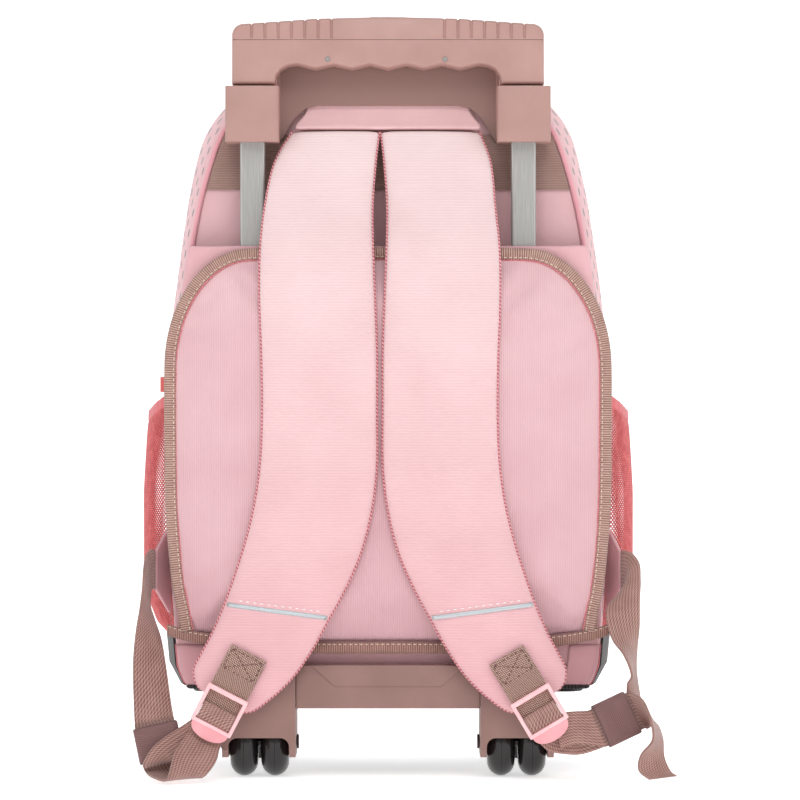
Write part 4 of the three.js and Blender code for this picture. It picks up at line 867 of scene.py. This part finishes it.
tape_section = (
    (0.6, binding_back), (4, binding_back), (7.4, binding_back), (8, binding_back - 0.9), (7.8, binding_back - 1.6),
    (6.8, binding_back - 2.1), (5, binding_back - 2.9), (3, binding_back - 3.2), (1.2, binding_back - 2.9), (0.2, binding_back - 1.8))
columns = [along_arch(inset, y) for inset, y in tape_section]
bm = skin([[column[k] for column in columns] for k in range(260)], wrap=True)
piece_from(bm, "arch_binding", arch_look, stands_for=("panel_binding",))
tan_thread, shader = surface("tan_thread", (222, 196, 180), 0.7, Sheen_Weight=0.3)
tree = tan_thread.node_tree
vector, _ = coordinates(tree)
shaded(tree, shader, cloudy(tree, vector, 1, 2), (0.3, (208, 180, 164)), (0.7, (232, 208, 192)))
stitches("arch_stitches", along_arch(6.7, binding_back - 2.3), 3.6, 2.6, 0.42, tan_thread)
bm = round_cord(along_arch(8.4, binding_back - 0.6), 0.7, around=6)
coral_edge, shader = surface("coral_edge_thread", (206, 120, 124), 0.75)
tree = coral_edge.node_tree
vector, _ = coordinates(tree)
shaded(tree, shader, cloudy(tree, vector, 0.8, 2), (0.3, (184, 92, 98)), (0.7, (226, 146, 150)))
piece_from(bm, "arch_inner_seam", coral_edge)

lower_rows = ((0, 0), (0.334, 0.01), (0.56, 0.25), (0.79, 0.7), (0.93, 1.2), (0.985, 1.55))
right_run = [Vector((panel_half * wide, 0, panel_bottom + binding_wide * up)) for wide, up in lower_rows]
lower_path = [Vector((-p.x, 0, p.z)) for p in reversed(right_run[1:])] + right_run
lower_path = evened(smooth_run(lower_path, 6), 160)
lower_look = binding_look_of("lower_grosgrain", (184, 144, 132), (116, 80, 73), 1)


def along_foot(up, y):
    return [spot(p.x, y, p.z + up) for p in lower_path]


columns = [along_foot(inset - 4, y) for inset, y in reversed(tape_section)]
bm = skin([[column[k] for column in columns] for k in range(160)], wrap=True)
piece_from(bm, "foot_binding", lower_look, stands_for=("lower_binding",))
stitches("foot_stitches", along_foot(2.6, binding_back - 2.3), 3.6, 2.6, 0.42, tan_thread)


# The yoke: a pale pink cloth panel that folds over behind the top moulding and is sewn to
# the heads of both straps with one seam.
strap_look, shader = cloth_look(
    "ribbed_strap_cloth", (236, 214, 214), (224, 197, 198), 0.9, 0.14, source="Object", ribbed=(2, 1.9, 0.7), creases=0.6)
# Painted shade: the strap cloth darkens and turns pinker towards its foot, where the light from above falls weaker.
painted_shade_below(strap_look.node_tree, shader, (0.95, 0.68, 0.72), 50, 440)
yoke_half, wall_arch, strap_top = 64.0, 461.0, 443.0
yoke_back = 19 - 0.3 - 1 - 0.3
yoke_rows = (
    (yoke_back, wall_arch + 11, 0.87), (yoke_back, wall_arch + 4, 0.87), (yoke_back, wall_arch - 2, 0.87), (yoke_back - 1.2, wall_arch - 5.5, 0.89),
    (yoke_back - 3.5, wall_arch - 9, 0.92), (yoke_back - 6, strap_top + 6, 0.96), (yoke_back - 9, strap_top + 4, 0.98),
    (yoke_back - 13, strap_top + 1.6, 1))
rings = []
for y, z, share in yoke_rows:
    rings.append([spot(yoke_half * share * (-1 + k / 20), y, z) for k in range(41)])
bm = skin(rings)
yoke_look, shader = cloth_look("yoke_cloth", (246, 206, 208), (236, 192, 195), 0.9, 0.14, source="Object", creases=0.8)
yoke = piece_from(bm, "harness_yoke", yoke_look, stands_for=("yoke",), levels=1)
wall = yoke.modifiers.new("Wall", "SOLIDIFY")
wall.thickness, wall.offset = 2 * MM, 0


# The shoulder straps: foam between two layers of finely ribbed pale pink cloth, curved and
# wide, closed by a coral overlock thread along both edges.
harness_centre, strap_drop, strap_reach = -5.5, 397, 125.8
strap_root, strap_stand, strap_thick, top_flare = 11.5, 38.5, 12, 8
strap_rows = (
    (0.479, 0.001, 0.003, 0, 0), (0.571, 0.054, 0.021, 0.048, 0.247), (0.625, 0.136, 0.04, 0.133, 0.558),
    (0.646, 0.208, 0.037, 0.208, 0.825), (0.649, 0.295, 0.026, 0.295, 0.914), (0.638, 0.392, 0.016, 0.392, 0.925),
    (0.634, 0.492, 0.016, 0.486, 0.93), (0.645, 0.574, 0.017, 0.582, 0.938), (0.676, 0.645, 0.045, 0.657, 0.948),
    (0.732, 0.717, 0.107, 0.732, 0.956), (0.808, 0.79, 0.21, 0.804, 0.964), (0.835, 0.814, 0.27, 0.838, 0.969),
    (0.905, 0.866, 0.366, 0.893, 0.974), (0.964, 0.901, 0.479, 0.943, 0.982), (1, 0.925, 0.603, 0.979, 0.99),
    (0.994, 0.946, 0.689, 0.997, 0.995), (0.964, 0.961, 0.743, 1, 1))
crown = (
    (0.004, 0.36), (0.012, 0.55), (0.035, 0.68), (0.08, 0.8), (0.15, 0.9), (0.25, 0.96), (0.38, 0.99), (0.5, 1), (0.62, 0.99), (0.75, 0.96),
    (0.85, 0.9), (0.92, 0.8), (0.965, 0.68), (0.988, 0.55), (0.996, 0.36))
stripe_row = 11


def strap_edges(side):
    """Outer and inner edge of a strap's back face, in millimetres."""
    outer, inner = [], []
    for out, out_drop, into, in_drop, stand in strap_rows:
        flare = top_flare * max(0, 1 - out_drop / 0.1) if side > 0 else 0
        y = strap_root - strap_stand * stand
        outer.append(Vector((harness_centre + side * (strap_reach * out + flare), y, strap_top - strap_drop * out_drop)))
        inner.append(Vector((harness_centre + side * strap_reach * into, y, strap_top - strap_drop * in_drop)))
    return smooth_run(outer, 8), smooth_run(inner, 8)


def strap_point(edges, k, over, lift):
    p = edges[0][k].lerp(edges[1][k], over)
    return spot(p.x, p.y - lift, p.z)


overlock_look, shader = surface("overlock_thread", (226, 120, 130), 0.7, Sheen_Weight=0.2)
tree = overlock_look.node_tree
vector, (u, v, w) = coordinates(tree, "UV")
twist = ribs(tree, maths(tree, "ADD", v, maths(tree, "MULTIPLY", u, 0.6)), 2.6)
shaded(tree, shader, twist, (0.15, (176, 96, 104)), (0.5, (222, 134, 140)), (0.85, (240, 176, 180)))
bumped(tree, shader, twist, 0.5)
for sign, side in ((-1, "left"), (1, "right")):
    edges = strap_edges(sign)
    rings = []
    for k in range(len(edges[0])):
        ring = [strap_point(edges, k, over, strap_thick * front) for over, front in crown]
        ring += [strap_point(edges, k, over, strap_thick * low) for over, low in ((0.99, 0.16), (0.93, 0.02), (0.75, 0), (0.5, 0), (0.25, 0), (0.07, 0.02), (0.01, 0.16))]
        rings.append(ring)
    bm = skin(rings, wrap=True)
    strap = piece_from(bm, f"padded_strap_{side}", strap_look, stands_for=(f"shoulder_strap_{side}",), levels=1)
    for over, name in ((0, "outer"), (1, "inner")):
        line = [strap_point(edges, k, over, strap_thick * 0.3) for k in range(len(edges[0]))]
        bm = round_cord(evened(line, 240), 0.8, around=8)
        piece_from(bm, f"overlock_{name}_{side}", overlock_look)


# Across the foot of each strap runs a grey reflective piping in a seam, with a row of white
# stitches just above it.
stripe_look, shader = surface("reflective_tape", (192, 199, 203), 0.38, Metallic=0.25)
tree = stripe_look.node_tree
vector, _ = coordinates(tree)
shaded(tree, shader, cloudy(tree, vector, 0.5, 1), (0.3, (176, 184, 188)), (0.7, (204, 210, 213)))
bumped(tree, shader, cloudy(tree, vector, 0.3, 1), 0.05)
white_thread, shader = surface("white_thread", (252, 240, 238), 0.7, Sheen_Weight=0.3)
tree = white_thread.node_tree
vector, _ = coordinates(tree)
shaded(tree, shader, cloudy(tree, vector, 1, 2), (0.3, (246, 226, 226)), (0.7, (255, 250, 248)))
for sign, side in ((-1, "left"), (1, "right")):
    edges = strap_edges(sign)
    k = stripe_row * 8
    fine_crown = [(i / 40, table_at(crown, i / 40)) for i in range(1, 40)]
    middle = [strap_point(edges, k, over, strap_thick * front + 0.15) for over, front in fine_crown]
    down = (strap_point(edges, k + 4, 0.5, 0) - strap_point(edges, k - 4, 0.5, 0)).normalized()
    section = ((-1.5, 0), (-1.4, 0.55), (-0.7, 0.85), (0, 0.95), (0.7, 0.85), (1.4, 0.55), (1.5, 0))
    bm = swept(middle, [down] * len(middle), lambda t: section)
    piece_from(bm, f"stripe_{side}", stripe_look, stands_for=(f"reflective_strip_{side}",))
    line = [p - down * 3.9 * MM + Vector((0, -0.1 * MM, 0)) for p in middle[3:-3]]
    stitches(f"stripe_stitches_{side}", line, 4.3, 3.0, 0.42, white_thread)


# The webbing: each side seam sends a taupe webbing down to a ladder buckle under the strap.
# It goes round the buckle's middle bar and comes back as a loose tail, held by an elastic keeper.
web_wide, web_thick = 27, 1.6
buckle_wide, buckle_tall, buckle_thick, buckle_tab, buckle_side, buckle_front = 30, 27.5, 4, 7.8, 2.7, -48
buckle_back = buckle_front + buckle_thick
web_plane = buckle_back + 0.3 + web_thick / 2
strap_face = strap_root - strap_stand - strap_thick
pinched = (buckle_wide - 2 * buckle_side - 0.6) / web_wide
buckle_spots = {"left": ((-93.6, 87.1), (-113.4, 48.9)), "right": ((79.8, 85.8), (102.2, 48.3))}
keeper_long, keeper_wall, layer_step = 24, 1.2, 1.5
keeper_spots = {
    "left": ((-155, -37.6, 26.5), (-0.218, 0.234, 0.948), (1, 0, 0.1)),
    "right": ((154.5, -36.5, 42), (0.9, 0.15, 0.41), (-0.41, 0, 0.9))}


def buckle_axes(side):
    top, buckle = buckle_spots[side]
    down = Vector((buckle[0] - top[0], 0, buckle[1] - top[1])).normalized()
    return down, Vector((-down.z, 0, down.x)), Vector((buckle[0], 0, buckle[1]))


def by_buckle(side, u, v, y):
    down, across, centre = buckle_axes(side)
    p = centre + across * u + down * v
    return Vector((p.x, y, p.z))


def facing(at, across, share=1.0):
    """The two edges of the webbing, from its middle and the direction of its width."""
    half = Vector(across).normalized() * web_wide * share / 2
    return Vector(at) + half, Vector(at) - half


def behind_buckle(side, v, y):
    return facing(by_buckle(side, 0, v, y), buckle_axes(side)[1], pinched)


def keeper_axes(side):
    centre, along, across = (Vector(v) for v in keeper_spots[side])
    along.normalize()
    across = (across - along * across.dot(along)).normalized()
    depth = along.cross(across)
    return centre, along, across, -depth if depth.y < 0 else depth


def through_keeper(side, layer, up=False):
    centre, along, across, depth = keeper_axes(side)
    mouth = keeper_long / 2 + 0.5
    run = [
        facing(centre + along * d + depth * layer * layer_step, across)
        for d in (mouth + 2, mouth, -mouth, -mouth - 2)]
    return run[::-1] if up else run


def beside(sign, rows):
    """Both edges where the webbing lies beside the bag, with x counted outwards from its side."""
    return [tuple(Vector((sign * (body_half + x), y, z)) for x, y, z in row) for row in rows]


def edges(first, second):
    return Vector(first), Vector(second)


routes = {
    "adjust_webbing_left": [
        *beside(-1, (
            ((10.3, 3.5, 127.5), (10.3, 3.5, 154.5)), ((11.5, -1.5, 129), (12, -4, 156)),
            ((12.5, -1.5, 127.5), (15, -12, 152)), ((13, -1, 123.5), (16, -19, 143)),
            ((13.5, 0, 117.5), (16.5, -24, 130)), ((10, -3, 107), (18, -27, 117)),
            ((5.5, -8, 95), (20.5, -29.5, 102)), ((1.5, -16, 77), (22.5, -31, 82)),
            ((-2, -22, 56), (22.5, -31.5, 60)))),
        *through_keeper("left", 1), facing((-150.6, -39.2, 9), (0.96, 0.1, 0.14)),
        facing((-145.5, -47.2, 4.4), (0.75, 0.65, 0.03)), facing((-138.5, -54, 3.8), (0.72, 0.69, 0)),
        facing((-135.2, -57, 7), (0.8, 0.55, -0.2)), facing((-131.5, -56.5, 14.5), (0.9, 0.15, -0.4)),
        facing((-127.5, -51.5, 21), (0.914, 0, -0.4)), behind_buckle("left", 22.5, web_plane + 0.3),
        behind_buckle("left", 15, web_plane), behind_buckle("left", 6, web_plane)],
    "adjust_webbing_right": [
        *beside(1, (
            ((10.3, 3.5, 127.5), (10.3, 3.5, 154.5)), ((11.4, -1, 128), (11.8, -2, 155)),
            ((11.5, -6.5, 127), (16.5, -8, 153.5)), ((6.5, -11.5, 124), (21.5, -12, 146.5)),
            ((0.5, -14, 119), (22.5, -14, 135)), ((-1.5, -20, 109.5), (22, -14, 122)),
            ((2.5, -29, 95), (21.5, -12, 103)), ((10, -33.5, 85), (20, -9, 88)),
            ((15, -34, 71), (19.5, -8, 74)), ((12.5, -34, 66.5), (22, -17, 52)))),
        *through_keeper("right", 1), edges((125.5, -37.2, 44.5), (130.7, -37.6, 18.5)),
        edges((121, -38.6, 44.3), (119.5, -38.4, 18.7)), edges((118.9, -39.2, 45), (107.5, -39.2, 21.5)),
        behind_buckle("right", 10, web_plane + 2.8), behind_buckle("right", 2, web_plane + 2.6)],
    "webbing_tail_left": [
        *through_keeper("left", -1), facing((-152, -46.4, 14.4), (0.96, 0, 0.1), 0.97),
        facing((-146.5, -48.4, 18), (0.85, 0, -0.4)), facing((-139.5, -45, 22.5), (0.74, 0, -0.67)),
        facing((-131, -40.8, 28.5), (0.74, 0, -0.66), 0.95), facing((-121.5, -40, 36.5), (0.8, 0, -0.6), pinched),
        facing((-114.2, -40, 44), (0.9, 0, -0.43), pinched)],
    "webbing_tail_right": [
        edges((113, -42.3, 45), (116.5, -42.3, 22.5)), edges((121, -41.6, 47.5), (127.2, -41.6, 25.5)),
        *through_keeper("right", -1, up=True), edges((171, -44, 56.5), (177, -29, 35.5)),
        edges((176, -52, 45), (182, -27, 38)), edges((178, -54, 30), (186, -29, 29)),
        edges((170, -52, 19), (187, -33, 16)), edges((169, -47, 8.5), (192, -37, 6)),
        edges((176, -46, 2.4), (195.2, -39, 4))]}


def web_section(wide, thick):
    w, t = wide / 2, thick / 2
    front = [(-w + 2 * w * i / 8, t) for i in range(9)]
    return [(-w - 0.0, 0)] + [(a * 0.985, b) for a, b in front] + [(w, 0)] + [(a * 0.985, -b) for a, b in reversed(front)]


def webbing_look_of(name, light, dark, rib_pitch, slant, depth=0.3):
    """Woven webbing: lengthwise cords crossed by a fine slanting twill."""
    made, shader = surface(name, light, 0.78, Sheen_Weight=0.3, Specular_IOR_Level=0.3)
    tree = made.node_tree
    vector, (u, v, w) = coordinates(tree, "UV")
    solid, _ = coordinates(tree)
    cord = ribs(tree, u, rib_pitch)
    twill = ribs(tree, maths(tree, "ADD", v, maths(tree, "MULTIPLY", u, slant)), 1.6)
    height = maths(tree, "MULTIPLY_ADD", cord, 0.45, maths(tree, "MULTIPLY", twill, 0.55))
    tone = maths(tree, "MULTIPLY_ADD", height, 0.65, maths(tree, "MULTIPLY", cloudy(tree, solid, 12, 3), 0.35))
    shaded(tree, shader, tone, (0.2, dark), (0.8, light))
    bumped(tree, shader, height, depth)
    return made


webbing_look = webbing_look_of("taupe_webbing", (190, 150, 140), (116, 80, 73), 1.9, 0.7)
for name, stations in routes.items():
    first, second = ([spot(*p) for p in smooth_run([s[which] for s in stations], 10)] for which in (0, 1))
    count = len(first)
    rings = []
    for k in range(count):
        ahead, behind = min(k + 1, count - 1), max(k - 1, 0)
        along = (first[ahead] + second[ahead] - first[behind] - second[behind]).normalized()
        up = along.cross(first[k] - second[k]).normalized()
        middle = (first[k] + second[k]) / 2
        rings.append([
            middle + (first[k] - middle) * (a * 2 / web_wide) + up * b * MM
            for a, b in web_section(web_wide, web_thick)])
    bm = skin(rings, wrap=True)
    piece_from(bm, f"{name}_strip", webbing_look, stands_for=(name,), crease=60)


# The patch: a short piece of tweedy taupe webbing sewn to the foot of each strap with a box
# and a cross of stitches. It passes behind the buckle's top bar.
patch_look, shader = surface("tweed_patch", (176, 142, 130), 0.8, Sheen_Weight=0.3, Specular_IOR_Level=0.25)
tree = patch_look.node_tree
vector, (u, v, w) = coordinates(tree, "UV")
cross_weave = weave(tree, maths(tree, "ADD", u, v), maths(tree, "SUBTRACT", u, v), 2.6, 1.9)
speck = cloudy(tree, vector, 0.9, 3)
tone = maths(tree, "MULTIPLY_ADD", cross_weave, 0.55, maths(tree, "MULTIPLY", speck, 0.45))
shaded(tree, shader, tone, (0.3, (98, 66, 60)), (0.5, (156, 122, 112)), (0.72, (206, 176, 160)))
bumped(tree, shader, tone, 0.45)
dark_thread, shader = surface("dark_thread", (110, 70, 66), 0.7, Sheen_Weight=0.2)
tree = dark_thread.node_tree
vector, _ = coordinates(tree)
shaded(tree, shader, cloudy(tree, vector, 1, 2), (0.3, (92, 56, 54)), (0.7, (132, 90, 84)))
for side in ("left", "right"):
    down, across, centre = buckle_axes(side)
    top, buckle = buckle_spots[side]
    long = math.hypot(top[0] - buckle[0], top[1] - buckle[1])
    on_strap = strap_face - 0.3 - web_thick / 2
    marks = [by_buckle(side, 0, v, y) for v, y in (
        (-long, on_strap), (-0.6 * long, on_strap - 0.4), (-0.38 * long, web_plane), (1.2, web_plane))]
    path = [spot(*p) for p in smooth_run(marks, 10)]
    section = web_section(web_wide, web_thick)
    bm = swept(path, [across] * len(path), lambda t: section)
    piece_from(bm, f"sewn_patch_{side}", patch_look, stands_for=(f"strap_patch_{side}",), crease=60)
    lift = on_strap - web_thick / 2 - 0.2
    inset = web_wide / 2 - 2.2
    box_top, box_foot = -long + 2.2, -long * 0.62
    corners = [(-inset, box_foot), (-inset, box_top), (inset, box_top), (inset, box_foot), (-inset, box_foot), (inset, box_top)]
    corners += [(inset, box_foot), (-inset, box_top)]
    run = [spot(*by_buckle(side, u, v, lift - 0.35 * (v + long) / long)) for u, v in corners]
    bm = bmesh.new()
    for a, b in zip(run, run[1:]):
        count = max(2, int((b - a).length / (2.9 * MM)))
        for k in range(count):
            along = (b - a).normalized()
            beside = along.cross(Vector((0, -1, 0))).normalized()
            axes = Matrix((along * 1.15, beside * 0.4, Vector((0, -0.3, 0)))).transposed().to_4x4()
            place = Matrix.Translation(a.lerp(b, (k + 0.5) / count)) @ axes @ Matrix.Scale(MM, 4)
            bmesh.ops.create_uvsphere(bm, u_segments=6, v_segments=4, radius=1, matrix=place)
    piece_from(bm, f"patch_stitches_{side}", dark_thread)


# The ladder buckle: glossy pink plastic, a light frame with two windows and a rounded tab in
# a deeper pink. The webbing goes round its middle bar and fills the lower window.
buckle_look, shader = surface("buckle_gloss", (250, 198, 202), 0.32, Coat_Weight=0.2, Subsurface_Weight=0.0)
tree = buckle_look.node_tree
vector, _ = coordinates(tree)
shaded(tree, shader, cloudy(tree, vector, 12, 2), (0.3, (247, 190, 195)), (0.7, (252, 203, 206)))
bumped(tree, shader, cloudy(tree, vector, 0.8, 2), 0.02)
tab_look, shader = surface("buckle_tab_gloss", (236, 164, 170), 0.36, Coat_Weight=0.2)
tree = tab_look.node_tree
vector, _ = coordinates(tree)
shaded(tree, shader, cloudy(tree, vector, 12, 2), (0.3, (230, 156, 162)), (0.7, (238, 168, 174)))
bar_top, bar_middle, bar_low = 3.4, 2.4, 2.7


def rounded_bar(bm, side, u0, u1, v0, v1, y0, y1, round_off):
    """A bar of the buckle between these sizes, with rounded edges."""
    down, across, centre = buckle_axes(side)
    middle = by_buckle(side, (u0 + u1) / 2, (v0 + v1) / 2, (y0 + y1) / 2)
    axes = Matrix((across * (u1 - u0), down * (v1 - v0), Vector((0, 1, 0)) * (y1 - y0))).transposed().to_4x4()
    made = bmesh.ops.create_cube(bm, size=1, matrix=Matrix.Translation(spot(*middle)) @ axes @ Matrix.Scale(MM, 4))
    edges = list({e for v in made["verts"] for e in v.link_edges})
    bmesh.ops.bevel(
        bm, geom=edges, offset=round_off * MM, segments=3, profile=0.5, affect="EDGES", material=-1)


window = (buckle_tall - bar_top - bar_middle - bar_low) / 2
w, h = buckle_wide / 2, buckle_tall / 2
for side in ("left", "right"):
    bm = bmesh.new()
    rounded_bar(bm, side, -w, w, -h, -h + bar_top, buckle_front - 0.4, buckle_back, 1.1)
    for sign in (-1, 1):
        u0, u1 = sorted((sign * w, sign * (w - buckle_side)))
        rounded_bar(bm, side, u0, u1, -h + 0.6, h, buckle_front, buckle_back, 0.9)
    middle_bar = -h + bar_top + window
    rounded_bar(bm, side, -w + 1.5, w - 1.5, middle_bar + 0.8, middle_bar + bar_middle - 0.2, buckle_front + 2.4, buckle_back, 0.5)
    rounded_bar(bm, side, -w + 1, w - 1, h - bar_low, h, buckle_front, buckle_back, 0.9)
    piece_from(bm, f"buckle_frame_{side}", buckle_look, stands_for=(f"ladder_buckle_{side}",), crease=45)
    down, across, centre = buckle_axes(side)
    bm = bmesh.new()
    rim = [(-w + buckle_side * 0.6, h - 1.6)] + [
        (-(w - buckle_side * 0.6) * math.cos(math.pi * k / 24), h - 0.6 + (buckle_tab + 1.2) * math.sin(math.pi * k / 24) ** 0.8)
        for k in range(25)] + [(w - buckle_side * 0.6, h - 1.6)]
    face = bm.faces.new([bm.verts.new(spot(*by_buckle(side, u, v, buckle_front + 0.5))) for u, v in rim])
    drawn = bmesh.ops.extrude_face_region(bm, geom=[face])["geom"]
    bmesh.ops.translate(bm, verts=[v for v in drawn if isinstance(v, bmesh.types.BMVert)], vec=(0, 2.4 * MM, 0))
    outer = [e for e in bm.edges if e.calc_face_angle(0) > 1]
    bmesh.ops.bevel(bm, geom=outer, offset=0.7 * MM, segments=3, profile=0.5, affect="EDGES", material=-1)
    piece_from(bm, f"buckle_tab_{side}", tab_look, crease=45)
    wrap = [by_buckle(side, 0, v, y) for v, y in (
        (middle_bar + 1.4, buckle_back - 0.2), (middle_bar - 0.2, buckle_front + 1.8), (middle_bar + 1.8, buckle_front + 0.35),
        (middle_bar + 5, buckle_front + 0.7), (h - bar_low - 0.6, buckle_front + 1.9), (h - bar_low + 0.3, buckle_back - 0.6))]
    path = [spot(*p) for p in smooth_run(wrap, 6)]
    section = web_section(buckle_wide - 2 * buckle_side - 0.6, 1.2)
    bm = swept(path, [across] * len(path), lambda t: section)
    piece_from(bm, f"buckle_wrap_{side}", webbing_look, crease=60)


# The keepers: short sleeves of dark taupe elastic, finely ribbed, that hold the tail of the
# webbing against its standing part.
keeper_look, shader = surface("keeper_elastic", (128, 97, 95), 0.8, Sheen_Weight=0.25, Specular_IOR_Level=0.25)
tree = keeper_look.node_tree
vector, (u, v, w2) = coordinates(tree, "UV")
fine = ribs(tree, maths(tree, "ADD", v, maths(tree, "MULTIPLY", u, 0.12)), 1.0)
shaded(tree, shader, maths(tree, "MULTIPLY_ADD", fine, 0.5, maths(tree, "MULTIPLY", cloudy(tree, vector, 8, 3), 0.5)), (0.25, (110, 80, 79)), (0.75, (136, 103, 101)))
bumped(tree, shader, fine, 0.15)
for side in ("left", "right"):
    centre, along, across, depth = keeper_axes(side)
    wide, deep = web_wide / 2 + 0.6, layer_step + web_thick / 2 + 0.6

    def keeper_ring(distance, wall):
        ring = []
        for k in range(48):
            turn = math.tau * k / 48
            a = math.copysign(abs(math.cos(turn)) ** 0.3, math.cos(turn)) * (wide + wall)
            b = math.copysign(abs(math.sin(turn)) ** 0.5, math.sin(turn)) * (deep + wall)
            ring.append(spot(*(centre + along * distance + across * a + depth * b)))
        return ring

    reach = keeper_long / 2
    rows = [(-reach, 0.9), (-reach + 0.8, keeper_wall), (-reach / 2, keeper_wall), (0, keeper_wall), (reach / 2, keeper_wall),
            (reach - 0.8, keeper_wall), (reach, 0.9), (reach, 0.1), (0, 0.1), (-reach, 0.1)]
    bm = skin([keeper_ring(d, wall) for d, wall in rows], wrap=True, hoop=True)
    piece_from(bm, f"keeper_{side}", keeper_look, stands_for=(f"elastic_keeper_{side}",), crease=60)


# The side wings: double pink cloth, a tapering tab from each side seam that holds the upper
# end of the webbing.
wing_look, shader = cloth_look("wing_cloth", (226, 178, 183), (198, 148, 155), 0.9, 0.12, source="Object", creases=1.0)
wing_root, wing_tip, wing_mid, wing_thick = 62, 26, 141, 2.0
for sign, side in ((-1, "left"), (1, "right")):
    rings = []
    for k in range(9):
        t = k / 8
        x, y = 151 + 8.6 * t, 25.5 - 20.3 * t
        tall = wing_root + (wing_tip - wing_root) * t
        row = []
        for i in range(17):
            z = wing_mid + tall * (i / 16 - 0.5)
            bow = 0.5 * math.sin(math.pi * i / 16) * math.sin(math.pi * t)
            row.append(spot(sign * (x + bow), y, z))
        rings.append(row)
    bm = skin(rings)
    wing = piece_from(bm, f"wing_cloth_{side}", wing_look, stands_for=(f"side_wing_{side}",), levels=1)
    wall = wing.modifiers.new("Wall", "SOLIDIFY")
    wall.thickness, wall.offset = wing_thick * MM, 0


# The bottle pockets: open coral net gathered under a coral binding that holds an elastic. The
# net is knitted in small diamonds, so the gusset shows through it.
net_look, shader = surface("coral_net", (222, 104, 106), 0.7, Sheen_Weight=0.2)
tree = net_look.node_tree
vector, _ = coordinates(tree)
shaded(tree, shader, cloudy(tree, vector, 5, 3), (0.3, (208, 88, 92)), (0.7, (232, 120, 120)))
rim_look, shader = cloth_look("coral_binding", (226, 116, 120), (202, 92, 98), 0.9, 0.25, ribbed=(1, 1.6, 0.6), creases=0.3)
pocket_start, pocket_end, pocket_bottom, pocket_top, pocket_bulge, pocket_wall = 28, 112, 96, 263, 13, 1.5
rim_tall, rim_gap, rim_dip = 8, 0.95, 12
pocket_rows = ((0, 0.1), (0.04, 0.55), (0.12, 0.9), (0.3, 1.1), (0.6, 1.05), (0.8, 0.92), (1, 0.8))
gusset_rows = ((0, -5), (0.06, 0), (0.25, 4.5), (0.5, 7), (0.75, 7), (1, 5))


def pocket_point(sign, across, up, lower, stand):
    y = pocket_start + (pocket_end - pocket_start) * across
    arc = math.sin(math.pi * across)
    z = pocket_bottom + (pocket_top - pocket_bottom) * up - lower - rim_dip * arc * up ** 6
    gusset_out = table_at(gusset_rows, (y - body_back) / shell_depth)
    x = body_half_at(z) + gusset_out + 0.3 + pocket_bulge * table_at(pocket_rows, up) * arc ** 0.7
    return spot(sign * (x + stand), y, z)


for sign, side in ((-1, "left"), (1, "right")):
    across_count, up_count = 34, 56
    rings = [[pocket_point(sign, i / across_count, j / up_count, rim_tall * (j / up_count) ** 8, pocket_wall / 2)
              for i in range(across_count + 1)] for j in range(up_count + 1)]
    bm = skin(rings)
    straight = bm.edges[:]
    bmesh.ops.poke(bm, faces=bm.faces[:])
    inner_edges = [e for e in straight if e.is_valid and len(e.link_faces) == 2]
    bmesh.ops.dissolve_edges(bm, edges=inner_edges, use_verts=False)
    net = piece_from(bm, f"pocket_net_{side}", net_look, stands_for=(f"mesh_pocket_{side}",))
    strands = net.modifiers.new("Strands", "WIREFRAME")
    strands.thickness, strands.use_even_offset, strands.use_boundary = 0.95 * MM, False, True
    section = ((1.6, 0.2), (1.6, rim_tall - 0.2), (1.1, rim_tall), (0.6, rim_tall - 0.2), (0.1, rim_tall - 0.5), (0.1, 0.5), (0.6, 0.1), (1.1, 0))
    rings = []
    for i in range(41):
        rings.append([pocket_point(sign, i / 40, 1, rim_tall - up, out + 0.35 * math.sin(i * 2.2)) for out, up in section])
    bm = skin(rings, wrap=True)
    piece_from(bm, f"pocket_binding_{side}", rim_look, stands_for=(f"pocket_rim_{side}",), levels=1)


# The side tab: a short folded coral ribbon caught in the left seam above the pocket.
tab_foot, tab_long, tab_bottom, tab_tall = 149.8, 8.0, 263.5, 10.5
tab_ribbon, shader = cloth_look("tab_ribbon", (226, 124, 116), (206, 100, 96), 0.8, 0.2, source="Object", ribbed=(2, 1.4, 0.6), creases=0.2)
rings = []
for k in range(13):
    z = tab_bottom + tab_tall * k / 12
    loop = [(0, -0.7), (3, -0.75), (6, -0.7), (7.6, -0.4), (8, 0), (7.6, 0.4), (6, 0.7), (3, 0.75), (0, 0.7)]
    rings.append([spot(-tab_foot - a, 25.8 + b, z) for a, b in loop])
bm = skin(rings, wrap=True)
piece_from(bm, "ribbon_tab", tab_ribbon, stands_for=("side_tab",), crease=60)
